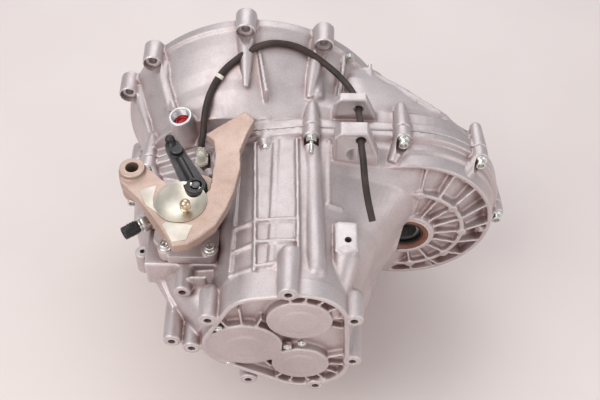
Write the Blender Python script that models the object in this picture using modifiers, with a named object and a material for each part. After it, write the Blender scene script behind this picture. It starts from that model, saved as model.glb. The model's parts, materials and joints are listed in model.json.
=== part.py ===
"""Six-speed, three-shaft transverse manual transmission with its differential, as separate pieces.

Lengths below are millimetres; MM turns them into Blender's metres. The pieces are laid out in shaft
coordinates: the input shaft's axis is the Y axis, the engine face is the plane Y = 0 and the gear case
runs towards -Y. Everything hangs on one empty, which stands the assembly on the plane Z = 0, centred.
"""

import math

import bmesh
import bpy
from mathutils import Matrix, Vector
from mathutils.geometry import convex_hull_2d, intersect_line_line_2d

MM = 0.001
GAP = 0.3
ALONG_Y = (-math.pi / 2, 0, 0)
AGAINST_Y = (math.pi / 2, 0, 0)
UPSIDE_DOWN = (math.pi, 0, 0)

# Shaft axes, as (X, Z)
INPUT_AXIS = (0.0, 0.0)
UPPER_AXIS = (64.0, 56.0)
LOWER_AXIS = (65.0, -42.0)
DIFF_AXIS = (199.0, -5.0)
IDLER_AXIS = (2.5, 50.2)
SHAFT_AXES = (INPUT_AXIS, UPPER_AXIS, LOWER_AXIS)
UPPER_RAIL = (20.0, 88.0)
LOWER_RAIL = (-2.0, -60.0)

# Stations along Y
JOINT_Y = -135.0
END_Y = -375.0
END_FLOOR_Y = -362.0
FRONT_WALL_BACK_Y = -104.0
FINAL_Y = -119.0
DIFF_MIDDLE_Y = -153.0
GEAR_Y = {"1": -144.0, "2": -186.0, "3": -204.0, "4": -246.0, "5": -264.0, "6": -306.0, "reverse": -144.0}
SLEEVE_Y = {"1_2": -165.0, "3_4": -225.0, "5_6": -285.0, "reverse": -165.0}

# Gears
LOWER_MODULE = 2 * math.dist(INPUT_AXIS, LOWER_AXIS) / 40
UPPER_MODULE = 2 * math.dist(INPUT_AXIS, UPPER_AXIS) / 44
INPUT_TEETH = {"1": 10, "2": 14, "3": 17, "4": 20, "5": 22, "6": 25}
DRIVEN_TEETH = {"1": 30, "2": 26, "3": 23, "4": 20, "5": 22, "6": 19}
REVERSE_TEETH = 16
IDLER_TEETH = 16
RING_TEETH = 46
UPPER_PINION_TEETH = 17
LOWER_PINION_TEETH = 13
UPPER_FINAL_MODULE = 2 * math.dist(UPPER_AXIS, DIFF_AXIS) / (RING_TEETH + UPPER_PINION_TEETH)
GEAR_WIDTH = 14.0
FINAL_WIDTH = 26.0
ADDENDUM = 0.7
DEDENDUM = 1.0
TIP_SHARE = 0.24
ROOT_SHARE = 0.54
TWIST_MM = 2.6

# Shafts, hubs and bearings
INPUT_RADIUS = 14.0
OUTPUT_RADIUS = 18.0
HUB_RADIUS = 27.0
HUB_WIDTH = 9.0
SLEEVE_RADIUS = 34.0
SLEEVE_WIDTH = 15.0
GROOVE_RADIUS = 30.0
GROOVE_WIDTH = 6.4
BEARING_RADIUS = 32.0
RAIL_RADIUS = 7.0
IDLER_SHAFT_RADIUS = 9.0

# Castings
BELL_RADIUS = 184.0
BELL_BOLT_RADIUS = 190.0
LUG_RADIUS = 14.0
LUG_ANGLES = (62, 93, 135, 156, 200, 245, 285, 325)
CASE_BOLT_RADIUS = 10.5
DIFF_BOLT_CIRCLE = 128.0
DIFF_BOLT_ANGLES = (95, 46, -8, -60)
BODY_BOLTS = ((18, 111), (75, 124), (-60, 88), (-135, 60), (-163, 2), (-100, -62), (20, -118), (98, -122))
DIFF_CAVITY = 114.0
END_BOSSES = ((-64, -4), (-40, 59), (52, 114), (126, 62), (128, -30), (84, -93), (0, -80))

# Selector
SELECTOR_AXIS = (-58.0, -243.0)
PLATE_BOTTOM = 126.0
PLATE_TOP = 140.0
BALL_STUD_AT = (-67.0, -274.0)
DISH_AT = (-77.0, -267.0)
LEVER_END = (-92.0, -179.0)
SWITCH_AT = Vector((-114.0, -240.0, 74.5))
SWITCH_WAY = Vector((-0.80, -0.60, 0.0)).normalized()
PORT_FOOT = Vector((-84.0, -116.0, 84.0))
PORT_MOUTH = Vector((-90.0, -121.0, 128.0))
EAR_X = (102.0, 152.0)
BACK_HOSE_HOLE = (133.0, 140.0)
FRONT_HOSE_HOLE = (134.0, 152.0)
EAR_HOLE = (128.0, 127.0)
HOSE_HOLE_RADIUS = 6.5
HOSE_RADIUS = 4.2
# Casting sections: (station along Y, discs the outline is wrapped round as (X, Z, radius), growth)
END_DISCS = ((0, 0, 52), (-4, 72, 12), (22, 58, 47), (64, 56, 57), (68, -40, 57))
JOINT_DISCS = ((-108, 5, 55), (-20, 86, 16), (22, 56, 58), (64, 54, 66), (199, -5, 119), (65, -42, 78))
BELL_SECTIONS = (
    (0, ((0, 0, BELL_RADIUS),), 0),
    (-16, ((0, 0, BELL_RADIUS),), 0),
    (-16.5, ((0, 0, BELL_RADIUS - 4),), 0),
    (-45, ((0, 0, 168), (130, -5, 75)), 0),
    (-75, ((-4, 0, 150), (187, -5, 96)), 0),
    (-100, ((-10, 4, 132), (198, -5, 121)), 0),
    (-119, ((-34, 5, 118), (199, -5, 121), (64, 54, 67), (65, -42, 80)), 0),
    (-120, JOINT_DISCS, 7),
    (JOINT_Y + GAP / 2, JOINT_DISCS, 7),
)
BELL_SPACE = (
    (1, ((0, 0, 168),), 0),
    (-45, ((0, 0, 160),), 0),
    (-75, ((-4, 0, 141),), 0),
    (-91, ((-8, 2, 128),), 0),
)
FRONT_GEAR_SPACE = (
    (FRONT_WALL_BACK_Y, ((-50, 5, 55), (5, 48, 46), (22, 54, 48), (64, 54, 58), (65, -42, 66)), 0),
    (-118, ((-80, 5, 48), (5, 48, 46), (64, 54, 60), (65, -42, 70)), 0),
    (JOINT_Y - 1, ((-100, 5, 46), (5, 48, 46), (22, 54, 52), (64, 54, 60), (65, -42, 72)), 0),
)
BODY_SECTIONS = (
    (JOINT_Y - GAP / 2, JOINT_DISCS, 7),
    (-146, JOINT_DISCS, 7),
    (-146.5, JOINT_DISCS, 0),
    (-160, JOINT_DISCS, 0),
    (-196, ((0, 0, 60), (-2, -62, 17), (-8, 86, 12), (22, 52, 58), (64, 54, 64), (158, 42, 48),
            (150, -20, 50), (65, -42, 72)), 0),
    (-256, ((0, 0, 56), (-2, -62, 17), (-8, 84, 12), (20, 50, 59), (60, 50, 61), (112, 42, 46),
            (105, -30, 50), (65, -42, 68)), 0),
    (-315, ((0, 0, 58), (-8, 80, 12), (22, 54, 52), (60, 50, 59), (88, 45, 44), (84, -40, 49),
            (65, -42, 59)), 0),
    (END_Y, END_DISCS, 0),
)
SHOULDER_SECTIONS = (
    (-150, ((-106, 5, 53), (0, 0, 72)), 0),
    (-196, ((-103, 5, 52), (0, 0, 60)), 0),
    (-256, ((-85, 5, 50), (0, 0, 56)), 0),
    (-315, ((-52, 2, 46), (0, 0, 57)), 0),
    (-372, ((-6, 0, 45), (0, 0, 48)), 0),
)
SUMP_SECTIONS = (
    (-150, ((65, -42, 76), (199, -5, 118)), 0),
    (-205, ((65, -42, 74), (170, -45, 66), (190, -60, 45)), 0),
    (-345, ((60, -40, 56), (80, -50, 48)), 0),
)
GEAR_SPACE = (
    (-134, ((0, 0, 60), (-2, -60, 13), (5, 48, 46), (22, 54, 52), (64, 54, 60), (65, -42, 72)), 0),
    (-196, ((0, 0, 52), (-2, -60, 13), (20, 86, 14), (64, 54, 57), (138, 36, 38), (65, -42, 66)), 0),
    (-256, ((0, 0, 48), (-2, -60, 12.5), (20, 86, 14), (60, 50, 54), (102, 36, 40), (65, -42, 61)), 0),
    (-314.5, ((0, 0, 52), (22, 54, 45), (60, 52, 51), (80, 42, 38), (78, -38, 42), (62, -42, 51)), 0),
)
SELECTOR_SPACE = (
    (-134, ((-100, 5, 46), (0, 0, 60)), 0),
    (-196, ((-98, 5, 44), (0, 0, 50)), 0),
    (-256, ((-80, 5, 42), (0, 0, 48)), 0),
    (-314, ((-46, 2, 38), (0, 0, 50)), 0),
)
COUNTERWEIGHT_OUTLINE = (
    (5, -137), (-7, -122), (-40, -150), (-53, -162), (-43, -172), (-39, -195), (-40, -225), (-41, -247),
    (-47, -257), (-58, -261), (-68, -258), (-77, -253), (-92, -240), (-103, -230), (-117, -216),
    (-128, -206), (-143, -208), (-151, -222), (-147, -238), (-122, -264), (-104, -288), (-92, -305),
    (-76, -330), (-60, -327), (-48, -318), (-31, -300), (-20, -275), (-13, -250), (-8, -215), (-10, -187),
    (-3, -160))
HOUSING_OUTLINE = ((-112, -212), (-100, -196), (-42, -196), (-33, -206), (-33, -286), (-42, -298),
                   (-92, -298), (-112, -274))
HOSE_ROUTE = (
    (-62, -164, 100), (-62, -150, 109), (-61, -134, 111), (-60, -121, 123), (-58, -108, 132),
    (-53, -89, 140), (-39, -70, 155), (-19, -56, 167), (0, -45, 173), (18, -38, 176), (36, -35, 174),
    (60, -36, 167), (84, -45, 156), (104, -58, 147), (119, -75, 142), (128, -92, 140), (133, -108, 140),
    (133, -122, 140.5), (134, -150, 150), (134, -172, 151.5), (134, -188, 152), (136, -206, 147),
    (138, -225, 135), (142, -243, 118), (148, -261, 100))

COLOURS = {
    "cast_aluminium": ((0.72, 0.70, 0.69), 0.42, 0.9),
    "cast_iron": ((0.62, 0.50, 0.40), 0.45, 0.7),
    "steel": ((0.45, 0.45, 0.47), 0.3, 1.0),
    "bearing_steel": ((0.62, 0.62, 0.64), 0.18, 1.0),
    "black_steel": ((0.06, 0.06, 0.065), 0.5, 0.6),
    "plated_steel": ((0.72, 0.70, 0.62), 0.3, 1.0),
    "rubber": ((0.03, 0.022, 0.02), 0.55, 0.0),
    "seal": ((0.28, 0.11, 0.06), 0.5, 0.0),
    "white_plastic": ((0.75, 0.74, 0.70), 0.4, 0.0),
    "black_plastic": ((0.02, 0.02, 0.02), 0.4, 0.0),
    "red_plastic": ((0.55, 0.02, 0.02), 0.35, 0.0),
}


def start_scene():
    """Empties the scene and returns the collections and the empty that carries the assembly."""
    for leftover in list(bpy.data.objects):
        bpy.data.objects.remove(leftover)
    parts = bpy.data.collections.new("manual_transmission")
    cutters = bpy.data.collections.new("cutters")
    cutters.hide_render = True
    for collection in (parts, cutters):
        bpy.context.scene.collection.children.link(collection)
    stand = bpy.data.objects.new("transmission_stand", None)
    parts.objects.link(stand)
    return parts, cutters, stand


PARTS, CUTTERS, STAND = start_scene()


def make_materials():
    found = {}
    for name, (colour, roughness, metallic) in COLOURS.items():
        material = bpy.data.materials.new(name)
        material.use_nodes = True
        shader = material.node_tree.nodes["Principled BSDF"]
        shader.inputs["Base Color"].default_value = (*colour, 1)
        shader.inputs["Roughness"].default_value = roughness
        shader.inputs["Metallic"].default_value = metallic
        found[name] = material
    return found


MATERIALS = make_materials()


def shade(mesh):
    mesh.shade_smooth()
    mesh.set_sharp_from_angle(angle=math.radians(35))


def place(name, shape, material=None, at=(0, 0, 0), turn=(0, 0, 0)):
    """Makes an object of a bmesh. Without a material it is a hidden helper for a Boolean."""
    bmesh.ops.recalc_face_normals(shape, faces=shape.faces)
    bmesh.ops.scale(shape, vec=(MM, MM, MM), verts=shape.verts)
    mesh = bpy.data.meshes.new(name)
    shape.to_mesh(mesh)
    shape.free()
    made = bpy.data.objects.new(name, mesh)
    made.parent = STAND
    made.location = Vector(at) * MM
    made.rotation_euler = turn
    if material:
        PARTS.objects.link(made)
        mesh.materials.append(MATERIALS[material])
        shade(mesh)
    else:
        CUTTERS.objects.link(made)
        made.hide_render = True
        made.display_type = "WIRE"
    return made


def combine(target, pieces, operation, solver="EXACT"):
    """Adds one Boolean modifier for each piece."""
    for number, shape in enumerate(pieces):
        piece = place(f"{target.name}_{operation.lower()}_{number:02d}", shape)
        piece.location = target.location
        piece.rotation_euler = target.rotation_euler
        boolean = target.modifiers.new(f"{operation.lower()}_{number:02d}", "BOOLEAN")
        boolean.operation = operation
        boolean.solver = solver
        boolean.object = piece
    return target


def clear(radius, sides):
    """The radius of a many-sided bore whose flats stay a gap away from a round of this radius."""
    return (radius + GAP) / math.cos(math.pi / sides)


def turned_part(name, shape, material, axis, y, adds=(), cuts=(), turn=ALONG_Y):
    """A piece whose own Z axis is the shaft axis (X, Z), with its origin on it at station y."""
    made = place(name, shape, material, (axis[0], y, axis[1]), turn)
    combine(made, adds, "UNION")
    return combine(made, cuts, "DIFFERENCE")


def rod(start, end, radius, end_radius=None, sides=24):
    """A cylinder or cone between two points."""
    start, end = Vector(start), Vector(end)
    shape = bmesh.new()
    way = end - start
    turn = way.to_track_quat("Z", "Y").to_matrix().to_4x4()
    bmesh.ops.create_cone(
        shape, cap_ends=True, segments=sides, radius1=radius,
        radius2=radius if end_radius is None else end_radius, depth=way.length,
        matrix=Matrix.Translation((start + end) / 2) @ turn)
    return shape


def along_y(axis, y0, y1, radius, end_radius=None, sides=32):
    return rod((axis[0], y0, axis[1]), (axis[0], y1, axis[1]), radius, end_radius, sides)


def along_z(at, z0, z1, radius, end_radius=None, sides=24):
    return rod((*at, z0), (*at, z1), radius, end_radius, sides)


def drum(z0, z1, radius, end_radius=None, sides=32):
    """A cylinder on the piece's own Z axis."""
    return rod((0, 0, z0), (0, 0, z1), radius, end_radius, sides)


def block(x0, x1, y0, y1, z0, z1):
    shape = bmesh.new()
    bmesh.ops.create_cube(shape, size=1)
    bmesh.ops.scale(shape, vec=(x1 - x0, y1 - y0, z1 - z0), verts=shape.verts)
    bmesh.ops.translate(shape, vec=((x0 + x1) / 2, (y0 + y1) / 2, (z0 + z1) / 2), verts=shape.verts)
    return shape


def ball(at, radius, sides=20):
    shape = bmesh.new()
    bmesh.ops.create_uvsphere(shape, u_segments=sides, v_segments=sides // 2, radius=radius,
                              matrix=Matrix.Translation(at))
    return shape


def prism(outline, low, high, axis="Z"):
    """A flat outline pushed from low to high along Z, or along Y with the outline in X and Z."""
    shape = bmesh.new()
    if axis == "Z":
        points = [shape.verts.new((x, y, low)) for x, y in outline]
        push = (0, 0, high - low)
    else:
        points = [shape.verts.new((x, low, z)) for x, z in outline]
        push = (0, high - low, 0)
    face = shape.faces.new(points)
    moved = bmesh.ops.extrude_face_region(shape, geom=[face])["geom"]
    bmesh.ops.translate(shape, vec=push, verts=[v for v in moved if isinstance(v, bmesh.types.BMVert)])
    return shape


def capsule(start, end, start_radius, end_radius, steps):
    """The outline round two circles of unlike size."""
    start, end = Vector(start), Vector(end)
    way = math.atan2(end.y - start.y, end.x - start.x)
    lean = math.acos((start_radius - end_radius) / (end - start).length)
    outline = []
    for centre, radius, first, last in ((start, start_radius, way + lean, way + 2 * math.pi - lean),
                                        (end, end_radius, way - lean, way + lean)):
        for step in range(steps + 1):
            angle = first + (last - first) * step / steps
            outline.append((centre.x + radius * math.cos(angle), centre.y + radius * math.sin(angle)))
    return outline


def wrap(discs, count, centre, grow):
    """The taut outline round a set of (x, z, radius) discs, as count points at even angles about centre."""
    cloud = [(x + (r + grow) * math.cos(a), z + (r + grow) * math.sin(a))
             for x, z, r in discs for a in (math.tau * step / 72 for step in range(72))]
    hull = [Vector(cloud[index]) for index in convex_hull_2d(cloud)]
    middle = Vector(centre)
    outline = []
    for step in range(count):
        angle = math.tau * step / count
        far = middle + Vector((math.cos(angle), math.sin(angle))) * 900
        for first, second in zip(hull, hull[1:] + hull[:1]):
            hit = intersect_line_line_2d(middle, far, first, second)
            if hit:
                outline.append(tuple(hit))
                break
    return outline


def loft(sections, centre=(50.0, 0.0), count=32):
    """A solid through (y, discs, grow) sections, each wrapped in its taut outline."""
    shape = bmesh.new()
    rings = []
    for y, discs, grow in sections:
        rings.append([shape.verts.new((x, y, z)) for x, z in wrap(discs, count, centre, grow)])
    for near, far in zip(rings, rings[1:]):
        for index in range(count):
            after = (index + 1) % count
            shape.faces.new((near[index], near[after], far[after], far[index]))
    shape.faces.new(rings[0])
    shape.faces.new(rings[-1])
    return shape


def local_angle(here, there):
    """The direction from one shaft axis to another, as an angle about a piece's own Z axis."""
    return math.atan2(-(there[1] - here[1]), there[0] - here[0])


def toothed(teeth, module, width, phase, hand, taper=1.0):
    """A gear blank on its own Z axis, with straight-sided teeth that leave running clearance.

    hand twists the teeth into a helix, and taper shrinks the low end into a bevel gear.
    """
    pitch = math.tau / teeth
    pitch_radius = module * teeth / 2
    root, tip = pitch_radius - DEDENDUM * module, pitch_radius + ADDENDUM * module
    twist = hand * TWIST_MM / pitch_radius
    shape = bmesh.new()
    rings = []
    for z, turn, size in ((-width / 2, -twist, taper), (width / 2, twist, 1)):
        ring = []
        for tooth in range(teeth):
            middle = phase + turn + pitch * tooth
            corners = (-ROOT_SHARE, root), (-TIP_SHARE, tip), (TIP_SHARE, tip), (ROOT_SHARE, root)
            for share, radius in corners:
                angle = middle + share * pitch / 2
                x, y = radius * math.cos(angle), radius * math.sin(angle)
                ring.append(shape.verts.new((size * x, size * y, z)))
        rings.append(ring)
    count = len(rings[0])
    for index in range(count):
        after = (index + 1) % count
        a, b, c, d = rings[0][index], rings[0][after], rings[1][after], rings[1][index]
        shape.faces.new((a, b, c))
        shape.faces.new((a, c, d))
    shape.faces.new(rings[0])
    shape.faces.new(rings[1])
    return shape


def meshing_phase(axis, teeth, phase, other_axis, other_teeth):
    """The phase that puts the other gear's gap on this gear's tooth."""
    pitch, other_pitch = math.tau / teeth, math.tau / other_teeth
    way = local_angle(axis, other_axis)
    share = (way - phase) / pitch
    return way + math.pi - other_pitch * (0.5 - share)


PHASES = {}


def plan_phases():
    """Works out one phase for each gear so that every pair is in mesh at rest."""
    for gear, teeth in INPUT_TEETH.items():
        PHASES["input", gear] = 0.0
        axis = UPPER_AXIS if gear in "56" else LOWER_AXIS
        PHASES["driven", gear] = meshing_phase(INPUT_AXIS, teeth, 0.0, axis, DRIVEN_TEETH[gear])
    PHASES["idler"] = meshing_phase(INPUT_AXIS, INPUT_TEETH["1"], 0.0, IDLER_AXIS, IDLER_TEETH)
    PHASES["reverse"] = meshing_phase(IDLER_AXIS, IDLER_TEETH, PHASES["idler"], UPPER_AXIS, REVERSE_TEETH)
    pinions = ("upper", UPPER_AXIS, UPPER_PINION_TEETH), ("lower", LOWER_AXIS, LOWER_PINION_TEETH)
    for name, axis, teeth in pinions:
        PHASES[name] = meshing_phase(DIFF_AXIS, RING_TEETH, 0.0, axis, teeth)


def make_input_shaft():
    """The input shaft with its first and second pinions cut on it, and the four gears pressed on."""
    middle = -180.0
    adds = [drum(-10 - middle, -62 - middle, 11, sides=16), drum(-60 - middle, -94 - middle, 15, sides=16)]
    for gear in "12":
        blank = toothed(INPUT_TEETH[gear], LOWER_MODULE, GEAR_WIDTH, 0.0, 1)
        bmesh.ops.translate(blank, vec=(0, 0, GEAR_Y[gear] - middle), verts=blank.verts)
        adds.append(blank)
    adds.append(drum(-92.5 - middle, -104.5 - middle, 16, sides=16))
    turned_part("input_shaft", drum(-85 - middle, -334.5 - middle, INPUT_RADIUS, sides=16), "steel",
                INPUT_AXIS, middle, adds)
    for gear in "3456":
        module = UPPER_MODULE if gear in "56" else LOWER_MODULE
        turned_part(f"input_gear_{gear}", toothed(INPUT_TEETH[gear], module, GEAR_WIDTH, 0.0, 1), "steel",
                    INPUT_AXIS, GEAR_Y[gear], cuts=[drum(-9, 9, clear(INPUT_RADIUS, 16), sides=16)])


def make_output_shafts():
    """Both output shafts, each with its final-drive pinion and its synchroniser hubs."""
    middle = -220.0
    for name, axis, teeth, sleeves in (("upper", UPPER_AXIS, UPPER_PINION_TEETH, ("reverse", "5_6")),
                                       ("lower", LOWER_AXIS, LOWER_PINION_TEETH, ("1_2", "3_4"))):
        pinion = toothed(teeth, UPPER_FINAL_MODULE, FINAL_WIDTH, PHASES[name], -1)
        bmesh.ops.translate(pinion, vec=(0, 0, FINAL_Y - middle), verts=pinion.verts)
        adds = [pinion]
        for sleeve in sleeves:
            place_y = SLEEVE_Y[sleeve] - middle
            adds.append(drum(place_y - HUB_WIDTH / 2, place_y + HUB_WIDTH / 2, HUB_RADIUS, sides=16))
        core = drum(-94.2 - middle, -334.5 - middle, OUTPUT_RADIUS, sides=18)
        turned_part(f"output_shaft_{name}", core, "steel", axis, middle, adds)


def make_driven_gears():
    """The gears that run free on the output shafts until a sleeve locks them."""
    towards_sleeve = {"1": -1, "2": 1, "3": -1, "4": 1, "5": -1, "6": 1}
    bore = drum(-20, 20, clear(OUTPUT_RADIUS, 14), sides=14)
    for gear, side in towards_sleeve.items():
        axis, module = (UPPER_AXIS, UPPER_MODULE) if gear in "56" else (LOWER_AXIS, LOWER_MODULE)
        cone = drum(side * (GEAR_WIDTH / 2 - 2), side * (GEAR_WIDTH / 2 + 2), 25, 23.5, sides=14)
        turned_part(f"output_gear_{gear}",
                    toothed(DRIVEN_TEETH[gear], module, GEAR_WIDTH, PHASES["driven", gear], -1), "steel",
                    axis, GEAR_Y[gear], [cone], [bore.copy()])
    turned_part("output_gear_reverse",
                toothed(REVERSE_TEETH, LOWER_MODULE, GEAR_WIDTH, PHASES["reverse"], 1), "steel",
                UPPER_AXIS, GEAR_Y["reverse"],
                [drum(-(GEAR_WIDTH / 2 - 2), -(GEAR_WIDTH / 2 + 2), 25, 23.5, sides=14)], [bore])
    turned_part("reverse_idler_gear",
                toothed(IDLER_TEETH, LOWER_MODULE, GEAR_WIDTH, PHASES["idler"], -1), "steel",
                IDLER_AXIS, GEAR_Y["reverse"], cuts=[drum(-9, 9, clear(IDLER_SHAFT_RADIUS, 14), sides=14)])
    turned_part("reverse_idler_shaft", drum(-26, 47, IDLER_SHAFT_RADIUS, sides=14), "steel", IDLER_AXIS,
                GEAR_Y["reverse"])


def turned_ring(name, profile, material, axis, y, steps=32):
    """A closed (radius, z) profile turned about the piece's own Z axis with a Screw modifier."""
    shape = bmesh.new()
    points = [shape.verts.new((radius * MM, 0, z * MM)) for radius, z in profile]
    for first, second in zip(points, points[1:] + points[:1]):
        shape.edges.new((first, second))
    mesh = bpy.data.meshes.new(name)
    shape.to_mesh(mesh)
    shape.free()
    made = bpy.data.objects.new(name, mesh)
    made.parent = STAND
    made.location = Vector((axis[0], y, axis[1])) * MM
    made.rotation_euler = ALONG_Y
    PARTS.objects.link(made)
    mesh.materials.append(MATERIALS[material])
    screw = made.modifiers.new("turned", "SCREW")
    screw.axis = "Z"
    screw.steps = steps
    screw.render_steps = steps
    screw.use_merge_vertices = True
    screw.merge_threshold = 0.0001
    screw.use_smooth_shade = True
    return made


def make_bearings():
    """Eight rings, each one pressed into its casting."""
    seats = (("input_bearing_front", INPUT_AXIS, -98.5, 16, BEARING_RADIUS, 9),
             ("input_bearing_rear", INPUT_AXIS, -326, INPUT_RADIUS, BEARING_RADIUS, 15),
             ("upper_bearing_front", UPPER_AXIS, -98.5, OUTPUT_RADIUS, BEARING_RADIUS, 9),
             ("upper_bearing_rear", UPPER_AXIS, -326, OUTPUT_RADIUS, BEARING_RADIUS, 15),
             ("lower_bearing_front", LOWER_AXIS, -98.5, OUTPUT_RADIUS, BEARING_RADIUS, 9),
             ("lower_bearing_rear", LOWER_AXIS, -326, OUTPUT_RADIUS, BEARING_RADIUS, 15),
             ("differential_bearing_front", DIFF_AXIS, -80, 22, 37, 15),
             ("differential_bearing_rear", DIFF_AXIS, -187, 22, 37, 13))
    for name, axis, y, shaft, outer, width in seats:
        inner, half = clear(shaft, 14), width / 2
        profile = ((outer, half), (outer, -half), (inner, -half), (inner, half))
        turned_ring(name, profile, "bearing_steel", axis, y, steps=14)


def make_sleeves_and_forks():
    """The four sliding sleeves, the forks that push them and the two rails the forks ride on."""
    half, groove = SLEEVE_WIDTH / 2, GROOVE_WIDTH / 2
    inner = clear(HUB_RADIUS, 16)
    profile = ((SLEEVE_RADIUS, half), (SLEEVE_RADIUS, groove), (GROOVE_RADIUS, groove),
               (GROOVE_RADIUS, -groove), (SLEEVE_RADIUS, -groove), (SLEEVE_RADIUS, -half),
               (inner, -half), (inner, half))
    for name, axis, rail in (("1_2", LOWER_AXIS, LOWER_RAIL), ("3_4", LOWER_AXIS, LOWER_RAIL),
                             ("5_6", UPPER_AXIS, UPPER_RAIL), ("reverse", UPPER_AXIS, UPPER_RAIL)):
        y = SLEEVE_Y[name]
        turned_ring(f"synchro_sleeve_{name}", profile, "steel", axis, y, steps=16)
        make_fork(name, axis, rail, y)
    rails = ("fork_rail_upper", UPPER_RAIL, -97, -334), ("fork_rail_lower", LOWER_RAIL, -97, -264)
    for name, rail, y0, y1 in rails:
        middle = (y0 + y1) / 2
        turned_part(name, drum(y0 - middle, y1 - middle, RAIL_RADIUS, sides=12), "steel", rail, middle)


def make_fork(name, axis, rail, y):
    """A half ring in the sleeve's groove, joined by an arm to a bush on the rail, where its origin is."""
    toward = math.atan2(axis[1] - rail[1], axis[0] - rail[0])
    reach = math.dist(axis, rail)
    inner, outer = GROOVE_RADIUS + 1, SLEEVE_RADIUS + 6
    arc = [math.radians(90 + 180 * step / 8) for step in range(9)]
    outline = [(reach + outer * math.cos(a), outer * math.sin(a)) for a in arc]
    outline += [(reach + inner * math.cos(a), inner * math.sin(a)) for a in reversed(arc)]
    thick = 2.4
    ring = prism(outline, -thick, thick)
    arm = block(5, reach - outer + 3, -5, 5, -thick, thick)
    bush = drum(-7, 7, 10.5, sides=10)
    for shape in (ring, arm, bush):
        bmesh.ops.rotate(shape, cent=(0, 0, 0), matrix=Matrix.Rotation(-toward, 3, "Z"), verts=shape.verts)
    turned_part(f"shift_fork_{name}", ring, "cast_aluminium", rail, y, [arm, bush],
                [drum(-20, 20, clear(RAIL_RADIUS, 12), sides=12)])


def make_differential():
    """Ring gear, carrier, cross pin, two spider gears and two side gears."""
    ring = toothed(RING_TEETH, UPPER_FINAL_MODULE, FINAL_WIDTH, 0.0, 1)
    turned_part("final_drive_ring_gear", ring, "steel", DIFF_AXIS, FINAL_Y,
                cuts=[drum(-20, 20, clear(78, 24), sides=24)])
    middle = DIFF_MIDDLE_Y
    adds = [drum(-107 - middle, -131 - middle, 78, sides=24),
            drum(-132.6 - middle, -136.3 - middle, 92, sides=24),
            drum(-130 - middle, -134 - middle, 77, sides=24),
            drum(-72 - middle, -110 - middle, 22, sides=16),
            drum(-174 - middle, -194 - middle, 22, sides=16)]
    cuts = [drum(-132 - middle, -174 - middle, 36, sides=20), drum(-90, 90, 15.5, sides=16),
            rod((-90, 0, 0), (90, 0, 0), 19, sides=14), rod((0, -90, 0), (0, 90, 0), clear(7, 12), sides=12)]
    core = drum(-178 - middle, -120 - middle, 58, sides=28)
    turned_part("differential_carrier", core, "cast_iron", DIFF_AXIS, middle, adds, cuts)
    centre = (DIFF_AXIS[0], middle, DIFF_AXIS[1])
    place("differential_pin", rod((0, 0, -57), (0, 0, 57), 7, sides=12), "steel", centre)
    for name, turn in (("upper", (0, 0, 0)), ("lower", UPSIDE_DOWN)):
        gear = toothed(10, 3.4, 11, 0.0, 0, taper=0.65)
        bmesh.ops.translate(gear, vec=(0, 0, 22.5), verts=gear.verts)
        made = place(f"spider_gear_{name}", gear, "steel", centre, turn)
        combine(made, [drum(0, 60, clear(7, 12), sides=12)], "DIFFERENCE")
    for name, turn in (("front", ALONG_Y), ("rear", AGAINST_Y)):
        gear = toothed(12, 2.45, 6.4, 0.0, 0, taper=0.7)
        bmesh.ops.translate(gear, vec=(0, 0, 17.2), verts=gear.verts)
        turned_part(f"side_gear_{name}", gear, "steel", DIFF_AXIS, middle, turn=turn)


def case_bolt_places():
    ring = [(DIFF_AXIS[0] + DIFF_BOLT_CIRCLE * math.cos(math.radians(a)),
             DIFF_AXIS[1] + DIFF_BOLT_CIRCLE * math.sin(math.radians(a))) for a in DIFF_BOLT_ANGLES]
    return [*BODY_BOLTS, *ring]


def ear(y0, y1, top):
    """A flat lug above the joint that holds the hose."""
    x0, x1 = EAR_X
    outline = (x0, 86), (x1 + 4, 86), (x1 + 4, 122), (x1 - 10, top), (x0 + 8, top), (x0, top - 8)
    return prism(outline, y0, y1, "Y")


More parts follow.
